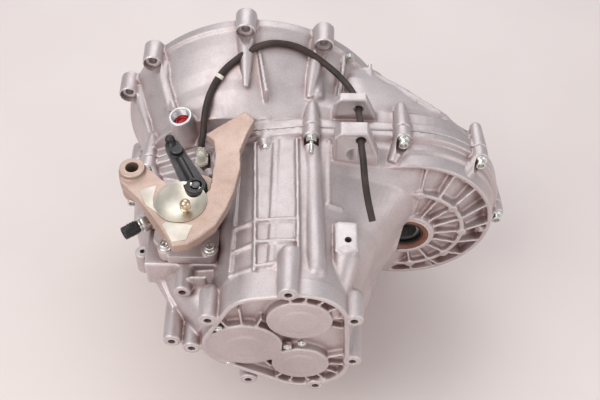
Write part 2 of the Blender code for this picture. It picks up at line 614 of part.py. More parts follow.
def make_clutch_housing():
    """The bell: engine flange with lugs, domed shell, bearing wall and the front half of the final drive."""
    lugs = [(BELL_BOLT_RADIUS * math.cos(math.radians(a)), BELL_BOLT_RADIUS * math.sin(math.radians(a)))
            for a in LUG_ANGLES]
    adds = [along_y(at, -0.3, -40, LUG_RADIUS, LUG_RADIUS - 3, sides=7) for at in lugs]
    adds += [along_y(at, -100, JOINT_Y + 0.5, 5, CASE_BOLT_RADIUS, sides=6) for at in case_bolt_places()]
    adds.append(along_y(DIFF_AXIS, -48, -98, 44, 50, sides=24))
    adds.append(rod(PORT_FOOT, PORT_MOUTH, 14, 12, sides=14))
    adds.append(ear(-104, -117, 156))
    cuts = [loft(BELL_SPACE, centre=(0.0, 0.0), count=32), loft(FRONT_GEAR_SPACE, count=30)]
    cuts.append(along_y(DIFF_AXIS, -103.5, -140, DIFF_CAVITY, sides=32))
    cuts += [along_y(at, -93.8, -110, clear(BEARING_RADIUS, 24), sides=24) for at in SHAFT_AXES]
    rods = (UPPER_RAIL, RAIL_RADIUS), (LOWER_RAIL, RAIL_RADIUS), (IDLER_AXIS, IDLER_SHAFT_RADIUS)
    cuts += [along_y(at, -96.7, -110, clear(radius, 14), sides=14) for at, radius in rods]
    cuts.append(along_y(INPUT_AXIS, -80, -100, 20, sides=20))
    cuts.append(along_y(DIFF_AXIS, -71, -110, clear(37, 24), sides=24))
    cuts.append(along_y(DIFF_AXIS, -40, -80, clear(30, 24), sides=24))
    cuts += [along_y(at, 5, -50, 5.5, sides=6) for at in lugs]
    way = (PORT_MOUTH - PORT_FOOT).normalized()
    cuts.append(rod(PORT_MOUTH - way * 22, PORT_MOUTH + way * 5, 8.6, sides=16))
    cuts.append(along_y(BACK_HOSE_HOLE, -95, -125, HOSE_HOLE_RADIUS, sides=12))
    made = place("clutch_housing", loft(BELL_SECTIONS), "cast_aluminium")
    combine(made, adds, "UNION", "MANIFOLD")
    return combine(made, cuts, "DIFFERENCE", "MANIFOLD")


def make_gear_case():
    """The rear casting: gear space, differential cover with its ribs, end wall with three bearing caps."""
    adds = [loft(SHOULDER_SECTIONS, centre=(0.0, 0.0), count=28),
            loft(SUMP_SECTIONS, centre=(100.0, -40.0), count=30)]
    adds += [along_y(at, JOINT_Y - 0.5, -151, CASE_BOLT_RADIUS, sides=6) for at in case_bolt_places()]
    adds.append(along_y(DIFF_AXIS, -155, -172.5, 118, 115, sides=32))
    adds.append(along_y(DIFF_AXIS, -172, -190, 108, 74, sides=32))
    adds.append(along_y(DIFF_AXIS, -180, -203, 42, 36, sides=24))
    adds += [along_y(at, -300, END_Y - 0.5, 10.5, sides=8) for at in END_BOSSES]
    adds.append(ear(-160, -181, 163))
    adds.append(block(-122, -29, -300, -192, 20, 60.3))
    adds += differential_ribs()
    adds += case_ribs()
    cuts = [loft(GEAR_SPACE, count=30), loft(SELECTOR_SPACE, centre=(0.0, 0.0), count=24)]
    cuts.append(along_y(DIFF_AXIS, -130, -166, DIFF_CAVITY, 110, sides=32))
    cuts.append(along_y(DIFF_AXIS, -165, -181.5, 100, 62, sides=32))
    cuts += [along_y(at, -300, -334.8, clear(BEARING_RADIUS, 24), sides=24) for at in SHAFT_AXES]
    cuts.append(along_y(UPPER_RAIL, -300, -334.3, clear(RAIL_RADIUS, 14), sides=14))
    cuts.append(along_y(DIFF_AXIS, -170, -194.5, clear(37, 24), sides=24))
    cuts.append(along_y(DIFF_AXIS, -190, -245, clear(30, 24), sides=24))
    cuts.append(loft(((END_Y - 1, END_DISCS, -8), (END_FLOOR_Y, END_DISCS, -8)), count=32))
    cuts += [along_y(at, -345, END_Y - 5, 4.2, sides=6) for at in END_BOSSES]
    cuts.append(block(-140, -32.6, -300.5, -194.5, 60.3, 110))
    cuts.append(along_z(SELECTOR_AXIS, 10, 80, 22, sides=20))
    cuts.append(along_y(FRONT_HOSE_HOLE, -150, -200, HOSE_HOLE_RADIUS, sides=12))
    cuts.append(along_y(EAR_HOLE, -150, -200, 11, sides=16))
    made = place("gear_case", loft(BODY_SECTIONS), "cast_aluminium")
    combine(made, adds, "UNION", "MANIFOLD")
    combine(made, cuts, "DIFFERENCE", "MANIFOLD")
    caps = [along_y(INPUT_AXIS, -360, END_Y + 1.5, 44, sides=28),
            along_y(UPPER_AXIS, -360, END_Y + 1.7, 38, sides=24),
            along_y(LOWER_AXIS, -360, END_Y + 1.9, 35, sides=24),
            block(-10, 6, -262, -252, -78, -58)]
    combine(made, caps, "UNION", "MANIFOLD")
    rail_bore = along_y(LOWER_RAIL, -245, -270, clear(RAIL_RADIUS, 14), sides=14)
    return combine(made, [rail_bore], "DIFFERENCE", "MANIFOLD")


def differential_ribs():
    """Radial ribs on the differential cover."""
    ribs = []
    for angle in (-72, -48, -24, 0, 24, 47, 68):
        turn = math.radians(angle)
        rib = block(34, 112, -193, -170, -2, 2)
        bmesh.ops.rotate(rib, cent=(0, 0, 0), matrix=Matrix.Rotation(-turn, 3, "Y"), verts=rib.verts)
        bmesh.ops.translate(rib, vec=(DIFF_AXIS[0], 0, DIFF_AXIS[1]), verts=rib.verts)
        ribs.append(rib)
    return ribs


def case_ribs():
    """Ribs along and across the top of the gear case."""
    lengthways = [block(x - 2, x + 2, -338, -140, 80, top) for x, top in ((-12, 101), (8, 107), (57, 117))]
    crossways = [block(-16, 60, y - 2, y + 2, 82, top) for y, top in ((-258, 104), (-290, 101))]
    return lengthways + crossways


def make_seals_and_release():
    """Both driveshaft seals, the concentric slave cylinder and the release bearing that it pushes."""
    for name, y, side in (("front", -58, 1), ("rear", -198.5, -1)):
        profile = ((30, 4), (30, -4), (20, -4), (24, 0), (20, 4))
        turned_ring(f"driveshaft_seal_{name}", profile, "seal", DIFF_AXIS, y + side * 0.5, steps=16)
    cylinder = ((46, -14), (40, -14), (40, 12), (24, 12), (24, -16), (46, -16))
    turned_ring("slave_cylinder", cylinder[::-1], "black_plastic", INPUT_AXIS, -74.5, steps=18)
    bearing = ((37, 8), (37, -7), (25, -7), (25, 3), (29, 8))
    turned_ring("release_bearing", bearing, "bearing_steel", INPUT_AXIS, -54, steps=18)


def make_selector():
    """The weighted shift lever, the select lever, the shaft they turn and lift, and its housing."""
    x, y = SELECTOR_AXIS
    origin = (x, y, 0)

    def near(shape):
        bmesh.ops.translate(shape, vec=(-x, -y, 0), verts=shape.verts)
        return shape

    outline = prism(COUNTERWEIGHT_OUTLINE, PLATE_BOTTOM, PLATE_TOP)
    plate = place("counterweight", near(outline), "cast_iron", origin)
    boss = (-134, -222)
    combine(plate, [near(along_z(SELECTOR_AXIS, 106, 128, 27, sides=20)),
                    near(along_z(boss, 102, 146, 17, 15, sides=16))], "UNION")
    combine(plate, [near(ball((*DISH_AT, PLATE_TOP + 30), 38, 20)),
                    near(along_z(SELECTOR_AXIS, 90, 150, clear(8.5, 14), sides=14)),
                    near(along_z(boss, 112, 160, 8, sides=12)),
                    near(along_z(BALL_STUD_AT, 100, 150, clear(4, 10), sides=10))], "DIFFERENCE")
    stem = near(along_z(BALL_STUD_AT, 127, 141, 4, sides=10))
    stud = place("shift_ball_stud", stem, "plated_steel", origin)
    combine(stud, [near(ball((*BALL_STUD_AT, 143), 6.5, 12)),
                   near(along_z(BALL_STUD_AT, 137.4, 139, 5.6, sides=10))], "UNION")
    core = near(along_z(SELECTOR_AXIS, 30, 127, 8.5, sides=14))
    shaft = place("selector_shaft", core, "steel", origin)
    combine(shaft, [near(along_z(SELECTOR_AXIS, 126, 137, 5, sides=12)),
                    near(block(x, x + 20, y - 5, y + 5, 33, 44))], "UNION")
    ring = near(along_z(SELECTOR_AXIS, 76, 84, 13.5, sides=16))
    collar = place("select_collar", ring, "plated_steel", origin)
    combine(collar, [near(along_z(SELECTOR_AXIS, 70, 90, clear(8.5, 14), sides=14))], "DIFFERENCE")
    arm = near(prism(capsule(SELECTOR_AXIS, LEVER_END, 13.5, 9.5, 6), 129, 139))
    lever = place("select_lever", arm, "black_steel", origin)
    bump = (-85, -191)
    combine(lever, [near(along_z(bump, 130, 145, 8.5, 6, sides=16)),
                    near(ball((-95.5, -173, 141), 6, 10))], "UNION")
    combine(lever, [near(along_z(SELECTOR_AXIS, 120, 150, 7.5, sides=18))], "DIFFERENCE")
    make_selector_housing()


def make_selector_housing():
    """The cast cover that carries the selector shaft, with the reverse-light switch screwed in its corner."""
    housing = place("selector_housing", prism(HOUSING_OUTLINE, 60.6, 74), "cast_aluminium")
    adds = [along_z(SELECTOR_AXIS, 70, 95, 24.5, 22, sides=20),
            rod(SWITCH_AT - SWITCH_WAY * 14, SWITCH_AT + SWITCH_WAY * 9, 12, sides=12)]
    cuts = [along_z(SELECTOR_AXIS, 50, 91, clear(14, 20), sides=20),
            along_z(SELECTOR_AXIS, 80, 100, clear(8.5, 16), sides=16)]
    mouth = SWITCH_AT + SWITCH_WAY * 9
    cuts.append(rod(mouth - SWITCH_WAY * 8, mouth + SWITCH_WAY * 2, 7, sides=14))
    combine(housing, adds, "UNION")
    combine(housing, cuts, "DIFFERENCE")
    foot = mouth - SWITCH_WAY * 7
    switch = place("reverse_light_switch", rod(foot, mouth + SWITCH_WAY * 2, 6.6, sides=14), "plated_steel")
    combine(switch, [rod(mouth + SWITCH_WAY * GAP, mouth + SWITCH_WAY * 10, 11, sides=6),
                     rod(mouth + SWITCH_WAY * 9, mouth + SWITCH_WAY * 14, 8, sides=16)], "UNION")
    plug = rod(mouth + SWITCH_WAY * 14.3, mouth + SWITCH_WAY * 34, 8.5, 8, sides=12)
    place("reverse_light_connector", plug, "black_plastic")


def make_fittings():
    """The plug in the hydraulic port, the breather nipple and the hose that runs from it."""
    way = (PORT_MOUTH - PORT_FOOT).normalized()
    plug = rod(PORT_MOUTH - way * 21, PORT_MOUTH - way * 12, 8.2, sides=12)
    place("hydraulic_port_plug", plug, "red_plastic")
    start = Vector(HOSE_ROUTE[0])
    stem = rod(start - Vector((0, 0, 12.5)), start + Vector((0, 0, 4)), 6, sides=10)
    nipple = place("breather_nipple", stem, "white_plastic")
    combine(nipple, [rod(start - Vector((0, 0, 9)), start - Vector((0, 0, 5)), 9, sides=6)], "UNION")
    curve = bpy.data.curves.new("breather_hose", "CURVE")
    curve.dimensions = "3D"
    curve.bevel_depth = HOSE_RADIUS * MM
    curve.bevel_resolution = 2
    curve.use_fill_caps = True
    spline = curve.splines.new("POLY")
    spline.points.add(len(HOSE_ROUTE) - 1)
    for point, at in zip(spline.points, HOSE_ROUTE):
        point.co = (*(Vector(at) * MM), 1)
    spline.points[0].co = (*((start + Vector((0, 9.5, 3))) * MM), 1)
    curve.materials.append(MATERIALS["rubber"])
    hose = bpy.data.objects.new("breather_hose", curve)
    hose.parent = STAND
    PARTS.objects.link(hose)


def stand_on_origin():
    """Moves the empty so that the assembly stands on Z = 0, centred in X and Y."""
    bpy.context.view_layer.update()
    graph = bpy.context.evaluated_depsgraph_get()
    corners = []
    for part in PARTS.objects:
        if part.type == "MESH":
            seen = part.evaluated_get(graph)
            corners += [seen.matrix_world @ Vector(corner) for corner in seen.bound_box]
    low = Vector([min(corner[axis] for corner in corners) for axis in range(3)])
    high = Vector([max(corner[axis] for corner in corners) for axis in range(3)])
    STAND.location = (-(low.x + high.x) / 2, -(low.y + high.y) / 2, -low.z)


def main():
    plan_phases()
    make_clutch_housing()
    make_gear_case()
    make_input_shaft()
    make_output_shafts()
    make_driven_gears()
    make_bearings()
    make_sleeves_and_forks()
    make_differential()
    make_seals_and_release()
    make_selector()
    make_fittings()
    stand_on_origin()


main()
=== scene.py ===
"""Visual model of a six-speed transverse manual transmission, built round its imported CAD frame.

Places are in shaft coordinates, in millimetres: the input shaft's axis is the Y axis, the engine face is
Y = 0, the gear case runs towards -Y and Z is up. world() turns them into the frame's metres.
"""

import json
import math

import bmesh
import bpy
from mathutils import Matrix, Vector
from mathutils.geometry import convex_hull_2d, intersect_line_line_2d

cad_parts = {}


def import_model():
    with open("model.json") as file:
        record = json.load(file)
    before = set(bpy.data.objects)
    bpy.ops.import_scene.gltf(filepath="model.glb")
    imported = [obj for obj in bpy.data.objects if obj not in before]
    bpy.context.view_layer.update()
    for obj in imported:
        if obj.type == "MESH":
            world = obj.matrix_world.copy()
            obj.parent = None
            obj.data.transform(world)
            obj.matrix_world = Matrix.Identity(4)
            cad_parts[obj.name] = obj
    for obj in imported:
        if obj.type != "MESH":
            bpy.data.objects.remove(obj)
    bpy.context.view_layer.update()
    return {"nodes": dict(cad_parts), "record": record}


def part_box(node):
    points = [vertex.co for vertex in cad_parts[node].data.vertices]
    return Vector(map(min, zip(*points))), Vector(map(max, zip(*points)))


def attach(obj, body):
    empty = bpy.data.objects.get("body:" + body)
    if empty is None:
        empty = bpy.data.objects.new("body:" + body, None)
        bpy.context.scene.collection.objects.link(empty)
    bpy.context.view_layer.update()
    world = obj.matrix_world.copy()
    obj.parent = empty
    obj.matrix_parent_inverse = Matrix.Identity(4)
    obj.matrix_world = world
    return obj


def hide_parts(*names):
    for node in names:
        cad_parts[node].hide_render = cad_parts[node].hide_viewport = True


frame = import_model()

MM = 0.001
DRAFT = 1.0
RINGS = 160

# Where the shaft coordinates start, in the frame
JOINTS = {joint["name"]: joint for joint in frame["record"]["behaviour"]["joints"]}
INPUT_AT = JOINTS["input_shaft_spin"]["pos_m"]
START = Vector((INPUT_AT[0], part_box("clutch_housing")[1][1], INPUT_AT[2]))

# Shaft axes, as (X, Z)
INPUT_AXIS = (0.0, 0.0)
UPPER_AXIS = (64.0, 56.0)
LOWER_AXIS = (65.0, -42.0)
DIFF_AXIS = (199.0, -5.0)

# Stations along Y
JOINT_Y = -135.0
JOINT_GAP = 0.15
END_Y = -375.0
END_FLOOR_Y = -362.0
LUG_SEAT_Y = -26.0
BOLT_SEAT_Y = -151.0

# Castings
BELL_RADIUS = 184.0
LUG_CIRCLE = 190.0
LUG_ANGLES = (62, 93, 135, 156, 200, 245, 285, 325)
BODY_BOLTS = ((18, 111), (75, 124), (-60, 88), (-135, 60), (-163, 2), (-100, -62), (20, -118), (98, -122))
DIFF_BOLT_CIRCLE = 128.0
DIFF_BOLT_ANGLES = (95, 46, -8, -60)
DIFF_START = (DIFF_AXIS[0], 0, DIFF_AXIS[1])
DIFF_SPOKE_ANGLES = range(-100, 100, 20)
STUD_BOLT = (75, 124)
BURIED_BOLT = (18, 111)
END_BOSSES = ((-64, -4), (-40, 59), (52, 114), (126, 62), (128, -30), (84, -93), (0, -80))
END_BOSS_STARTS = (-330, -340, -322, -345, -330, -340, -340)
END_SPOKES = (
    (UPPER_AXIS, 34, 53, (105, 80, 55, 30, 5, -20)),
    (LOWER_AXIS, 31, 54, (20, -5, -30, -55, -80, -105, -128)),
    (INPUT_AXIS, 40, 49, (200, 225, 250, 160)),
    (INPUT_AXIS, 40, 76, (93,)),
    (INPUT_AXIS, 40, 60, (118, 70, -62)),
)
END_CAPS = ((INPUT_AXIS, 44), (UPPER_AXIS, 38), (LOWER_AXIS, 35))
END_STUDS = ((-30, 37), (50, -3), (-23, -41), (67, 6))

# Selector
SELECTOR_AXIS = (-58.0, -243.0)
PLATE_BOTTOM = 126.0
PLATE_TOP = 140.0
BALL_STUD_AT = (-67.0, -274.0)
DISH_AT = (-73.0, -268.0)
DISH_SPHERE = 46.0
DISH_HEIGHT = 35.0
LEVER_END = (-92.0, -179.0)
WEIGHT_BOSS = (-134.0, -222.0)
SWITCH_AT = Vector((-114.0, -240.0, 74.5))
SWITCH_WAY = Vector((-0.80, -0.60, 0.0)).normalized()
SWITCH_MOUTH = SWITCH_AT + SWITCH_WAY * 9
SHAFT_BORE = 8.9
COVER_CORNERS = ((-98, -208), (-43, -206), (-43, -288), (-96, -286))
COVER_BOLT_SEAT = 77
PORT_FOOT = Vector((-84.0, -116.0, 84.0))
PORT_MOUTH = Vector((-90.0, -121.0, 128.0))
EAR_X = (102.0, 152.0)
BACK_HOSE_HOLE = (133.0, 140.0)
FRONT_HOSE_HOLE = (134.0, 152.0)
EAR_HOLE = (128.0, 127.0)
HOSE_RADIUS = 4.2

# Casting sections: (station along Y, discs the outline is wrapped round as (X, Z, radius), growth)
END_DISCS = ((0, 0, 52), (-4, 72, 12), (22, 58, 47), (64, 56, 57), (68, -40, 57))
JOINT_DISCS = ((-108, 5, 55), (-20, 86, 16), (22, 56, 58), (64, 54, 66), (199, -5, 119), (65, -42, 78))
BELL_SECTIONS = (
    (0, ((0, 0, BELL_RADIUS),), 0),
    (-13, ((0, 0, BELL_RADIUS),), 0),
    (-16, ((0, 0, BELL_RADIUS - 4),), 0),
    (-32, ((0, 0, 174), (100, -5, 80)), 0),
    (-45, ((0, 0, 168), (130, -5, 75)), 0),
    (-60, ((-2, 0, 160), (160, -5, 86)), 0),
    (-75, ((-4, 0, 150), (187, -5, 96)), 0),
    (-88, ((-7, 2, 142), (193, -5, 110)), 0),
    (-100, ((-10, 4, 132), (198, -5, 121)), 0),
    (-119, ((-34, 5, 118), (199, -5, 121), (64, 54, 67), (65, -42, 80)), 0),
    (-121, JOINT_DISCS, 7),
    (JOINT_Y + JOINT_GAP, JOINT_DISCS, 7),
)
WALL_SECTIONS = (
    (-16, ((150, 95, 20), (120, 100, 20)), 0),
    (-46, ((190, 90, 20), (130, 105, 22)), 0),
    (-86, ((238, 85, 20), (140, 100, 25)), 0),
    (-114, ((275, 70, 18), (150, 95, 25)), 0),
)
BELL_SPACE = (
    (1, ((0, 0, 168),), 0),
    (-45, ((0, 0, 160),), 0),
    (-75, ((-4, 0, 141),), 0),
    (-91, ((-8, 2, 128),), 0),
)
FRONT_GEAR_SPACE = (
    (-104, ((-50, 5, 55), (5, 48, 46), (22, 54, 48), (64, 54, 58), (65, -42, 66)), 0),
    (-118, ((-80, 5, 48), (5, 48, 46), (64, 54, 60), (65, -42, 70)), 0),
    (JOINT_Y - 1, ((-100, 5, 46), (5, 48, 46), (22, 54, 52), (64, 54, 60), (65, -42, 72)), 0),
)
DOME_RIDGES = (
    (((-97, -112, 112), (-106, -80, 112), (-116, -50, 124), (-116, -30, 132)), 4.5, 3),
    (((-97, -100, 116), (-116, -78, 104), (-126, -50, 112)), 3.5, 2.5),
    (((-156, -38, 60), (-143, -82, 60), (-127, -126, 60)), 3.5, 3.5),
    (((81, -60, 130), (81, -83, 130)), 9, 9),
)
DOME_FINS = (
    (((7, -42, 171), (18, -100, 156)), 4.5, 40),
    (((-39, -92, 122), (-35, -121, 113)), 3, 30),
    (((62, -70, 136), (80, -80, 134)), 7, 30),
    (((118, -10, 141), (106, -108, 124)), 5, 50),
    (((152, -10, 118), (148, -108, 122)), 5, 50),
    (((118, -14, 135), (152, -14, 112)), 6, 40),
    (((142, -16, 118), (190, -46, 112), (240, -86, 107), (278, -114, 90)), 6, 60),
    (((-172, -20, -40), (-96, -122, -50)), 5, 20),
)
DOME_UNDER_FINS = (
    (((-60, -40, -162), (-40, -125, -80)), 5, 20),
    (((60, -40, -162), (60, -125, -118)), 5, 30),
)
BODY_SECTIONS = (
    (JOINT_Y - JOINT_GAP, JOINT_DISCS, 7),
    (-145, JOINT_DISCS, 7),
    (-148, JOINT_DISCS, 0),
    (-160, JOINT_DISCS, 0),
    (-196, ((0, 0, 60), (-2, -62, 17), (-8, 86, 12), (22, 52, 58), (64, 54, 64), (158, 42, 48),
            (150, -20, 50), (65, -42, 72)), 0),
    (-256, ((0, 0, 56), (-2, -62, 17), (-8, 84, 12), (20, 50, 59), (60, 50, 61), (112, 42, 46),
            (105, -30, 50), (65, -42, 68)), 0),
    (-315, ((0, 0, 58), (-8, 80, 12), (22, 54, 52), (60, 50, 59), (88, 45, 44), (84, -40, 49),
            (65, -42, 59)), 0),
    (END_FLOOR_Y, END_DISCS, 0),
)
SHOULDER_SECTIONS = (
    (-150, ((-106, 5, 53), (0, 0, 72)), 0),
    (-196, ((-103, 5, 52), (0, 0, 60)), 0),
    (-256, ((-85, 5, 50), (0, 0, 56)), 0),
    (-315, ((-52, 2, 46), (0, 0, 57)), 0),
    (END_FLOOR_Y, ((-12, 0, 45), (0, 0, 48)), 0),
)
SUMP_SECTIONS = (
    (-150, ((65, -42, 76), (199, -5, 118)), 0),
    (-180, ((65, -42, 75), (160, -55, 62)), 0),
    (-205, ((65, -42, 74), (128, -60, 48)), 0),
    (-345, ((60, -40, 56), (80, -50, 48)), 0),
)
GEAR_SPACE = (
    (-134, ((0, 0, 60), (-2, -60, 13), (5, 48, 46), (22, 54, 52), (64, 54, 60), (65, -42, 72)), 0),
    (-196, ((0, 0, 52), (-2, -60, 13), (20, 86, 14), (64, 54, 57), (138, 36, 38), (65, -42, 66)), 0),
    (-256, ((0, 0, 48), (-2, -60, 12.5), (20, 86, 14), (60, 50, 54), (102, 36, 40), (65, -42, 61)), 0),
    (-314.5, ((0, 0, 52), (22, 54, 45), (60, 52, 51), (80, 42, 38), (78, -38, 42), (62, -42, 51)), 0),
)
ROOF_LONG_RIBS = (
    ((-15, -152), (-15, -200), (-15, -260), (-16, -338)),
    ((5, -152), (9, -230), (13, -338)),
    ((57, -152), (60, -250), (62, -330)),
)
ROOF_CROSS_RIBS = (
    ((60, -269), (14, -270), (-13, -275), (-40, -282)),
    ((61, -299), (15, -300), (-12, -306), (-42, -317)),
    ((62, -326), (16, -333), (-15, -336), (-40, -340)),
)
CASE_TAPPED_HOLES = (((119, -289), 84, 110, 4.2), ((-110, -273), 34, 60, 4.2), ((-132, -262), 20, 40, 3))
PAD_OUTLINE = ((103, -266), (108, -261), (131, -263), (131, -303), (126, -307), (103, -305))
COUNTERWEIGHT_OUTLINE = (
    (5, -137), (-7, -122), (-40, -150), (-53, -162), (-43, -172), (-39, -195), (-40, -225), (-41, -247),
    (-47, -257), (-58, -261), (-68, -258), (-77, -253), (-92, -240), (-103, -230), (-117, -216),
    (-128, -206), (-143, -208), (-151, -222), (-147, -238), (-122, -264), (-104, -288), (-92, -305),
    (-76, -330), (-60, -327), (-48, -318), (-31, -300), (-20, -275), (-13, -250), (-8, -215), (-10, -187),
    (-3, -160))
WEIGHT_PAD_OUTLINES = (
    ((-123, -252), (-112, -274), (-97, -285), (-103, -276), (-105, -262), (-103, -244)),
    ((-91, -301), (-87, -297), (-56, -301), (-62, -322), (-77, -325)),
)
HOUSING_OUTLINE = ((-112, -212), (-100, -196), (-42, -196), (-33, -206), (-33, -286), (-42, -298),
                   (-92, -298), (-112, -274))
HOSE_ROUTE = (
    (-62, -164, 100), (-62, -150, 109), (-61, -134, 111), (-60, -121, 123), (-58, -108, 132),
    (-53, -89, 140), (-39, -70, 155), (-19, -56, 167), (0, -45, 173), (18, -38, 176), (36, -35, 174),
    (60, -36, 167), (84, -45, 156), (104, -58, 147), (119, -75, 142), (128, -92, 140), (133, -108, 140),
    (133, -122, 140.5), (134, -150, 150), (134, -172, 151.5), (134, -188, 152), (136, -206, 147),
    (138, -225, 135), (142, -243, 118), (148, -261, 100))
HOSE_START = Vector((0, 9.5, 3))

# Turned profiles, as (radius, distance along the axis)
WASHER_PROFILE = ((9.2, 0), (9.2, 1.6), (4.5, 1.6), (4.5, 0))
BOLT_PROFILE = ((0, 0), (8.2, 0), (8.2, 1.2), (6.4, 2.2), (6.4, 8.6), (5.6, 9.4), (3.7, 9.4), (3.7, 4),
                (0, 4))
COVER_BOLT_PROFILE = ((0, 0), (7.6, 0), (7.6, 1.5), (6.2, 2.4), (6.2, 6.6), (5.4, 7.4), (3.4, 7.4),
                      (3.4, 3.6), (0, 3.6))
LONG_STUD_PROFILE = ((0, 0), (2.7, 0), (2.7, 22), (2.0, 23.5), (0, 23.5))
SHORT_STUD_PROFILE = ((0, 0), (2.9, 0), (2.9, 6.4), (2.2, 7.2), (0, 7.2))
LUG_SEAT_PROFILE = ((11.2, 0.5), (11.2, -0.7), (5.9, -0.7), (5.9, 0.5))
BOSS_SEAT_PROFILE = ((7.8, 0.4), (7.8, -0.2), (4.5, -0.2), (4.5, 0.4))
SEAL_PROFILE = ((30, -4), (30, 3.2), (28.6, 4), (26.4, 4), (25.4, 2.6), (24.2, 3.2), (23, 1.6), (23, -4))
SEAL_LIP_PROFILE = ((23.2, -3.6), (23.2, 1.2), (21.4, 2.6), (20.2, 1.6), (19.6, -0.4), (21, -3.6))
SLAVE_PROFILE = ((46, -16), (46, -14), (40, -13), (40, 10), (38.6, 12), (24, 12), (24, -16))
RACE_PROFILE = ((37, -7), (37, 6.6), (35.6, 8), (31, 8), (29, 6.6), (25, 3), (25, -7))
SHIELD_PROFILE = ((36.2, 7.6), (36.2, 8.6), (32, 8.6), (32, 7.6))
PORT_RIM_PROFILE = ((14.8, -2.4), (15.1, -0.4), (14.4, 0.5), (11.9, 0.5), (11.3, -0.6), (11.3, -2.4))
PORT_PLUG_PROFILE = ((0, 0), (10.3, 0), (10.3, 9.5), (9.2, 10.6), (6.6, 10.6), (6, 7.6), (0, 7.6))
STUD_COLLAR_PROFILE = ((6.6, 137.2), (6.6, 138.6), (5, 139.6), (3, 139.6), (3, 137.2))
SHAFT_END_PROFILE = ((0, 0), (7.2, 0), (7.2, 1.2), (5.2, 1.6), (5.2, 4), (4.4, 4.6), (0, 4.6))
CONNECTOR_PROFILE = ((0, 14.3), (7.6, 14.3), (8, 27), (8, 34), (6.6, 34), (6.4, 26), (0, 26))
FINE_SIDES = 96
SPLINE_TEETH = 22

# Camera
CAMERA_AT = Vector((74.1, -908.7, 937.5))
CAMERA_TURN = (math.radians(39), 0, math.radians(1))
CAMERA_LENS = 54.0


UP = (0, 0, 1)
TOWARDS_ENGINE = (0, 1, 0)
FROM_ENGINE = (0, -1, 0)


def world(point):
    return START + Vector(point) * MM


# ---------------------------------------------------------------- camera and hose

def make_camera():
    camera = bpy.data.objects.new("camera", bpy.data.cameras.new("camera"))
    bpy.context.scene.collection.objects.link(camera)
    camera.location = world(CAMERA_AT)
    camera.rotation_euler = CAMERA_TURN
    camera.data.lens = CAMERA_LENS
    bpy.context.scene.camera = camera


def make_hose():
    """The breather hose, on one smooth curve through its route."""
    curve = bpy.data.curves.new("hose", "CURVE")
    curve.dimensions = "3D"
    curve.bevel_depth = HOSE_RADIUS * MM
    curve.bevel_resolution = 6
    curve.resolution_u = 8
    curve.use_fill_caps = True
    spline = curve.splines.new("BEZIER")
    points = [Vector(HOSE_ROUTE[0]) + HOSE_START] + [Vector(point) for point in HOSE_ROUTE[1:]]
    spline.bezier_points.add(len(points) - 1)
    for knot, at in zip(spline.bezier_points, points):
        knot.co = world(at)
        knot.handle_left_type = knot.handle_right_type = "AUTO"
    hose = bpy.data.objects.new("hose", curve)
    bpy.context.scene.collection.objects.link(hose)
    length = sum((after - here).length for here, after in zip(points, points[1:])) * MM
    return hose, world(points[0]), length


# ---------------------------------------------------------------- materials

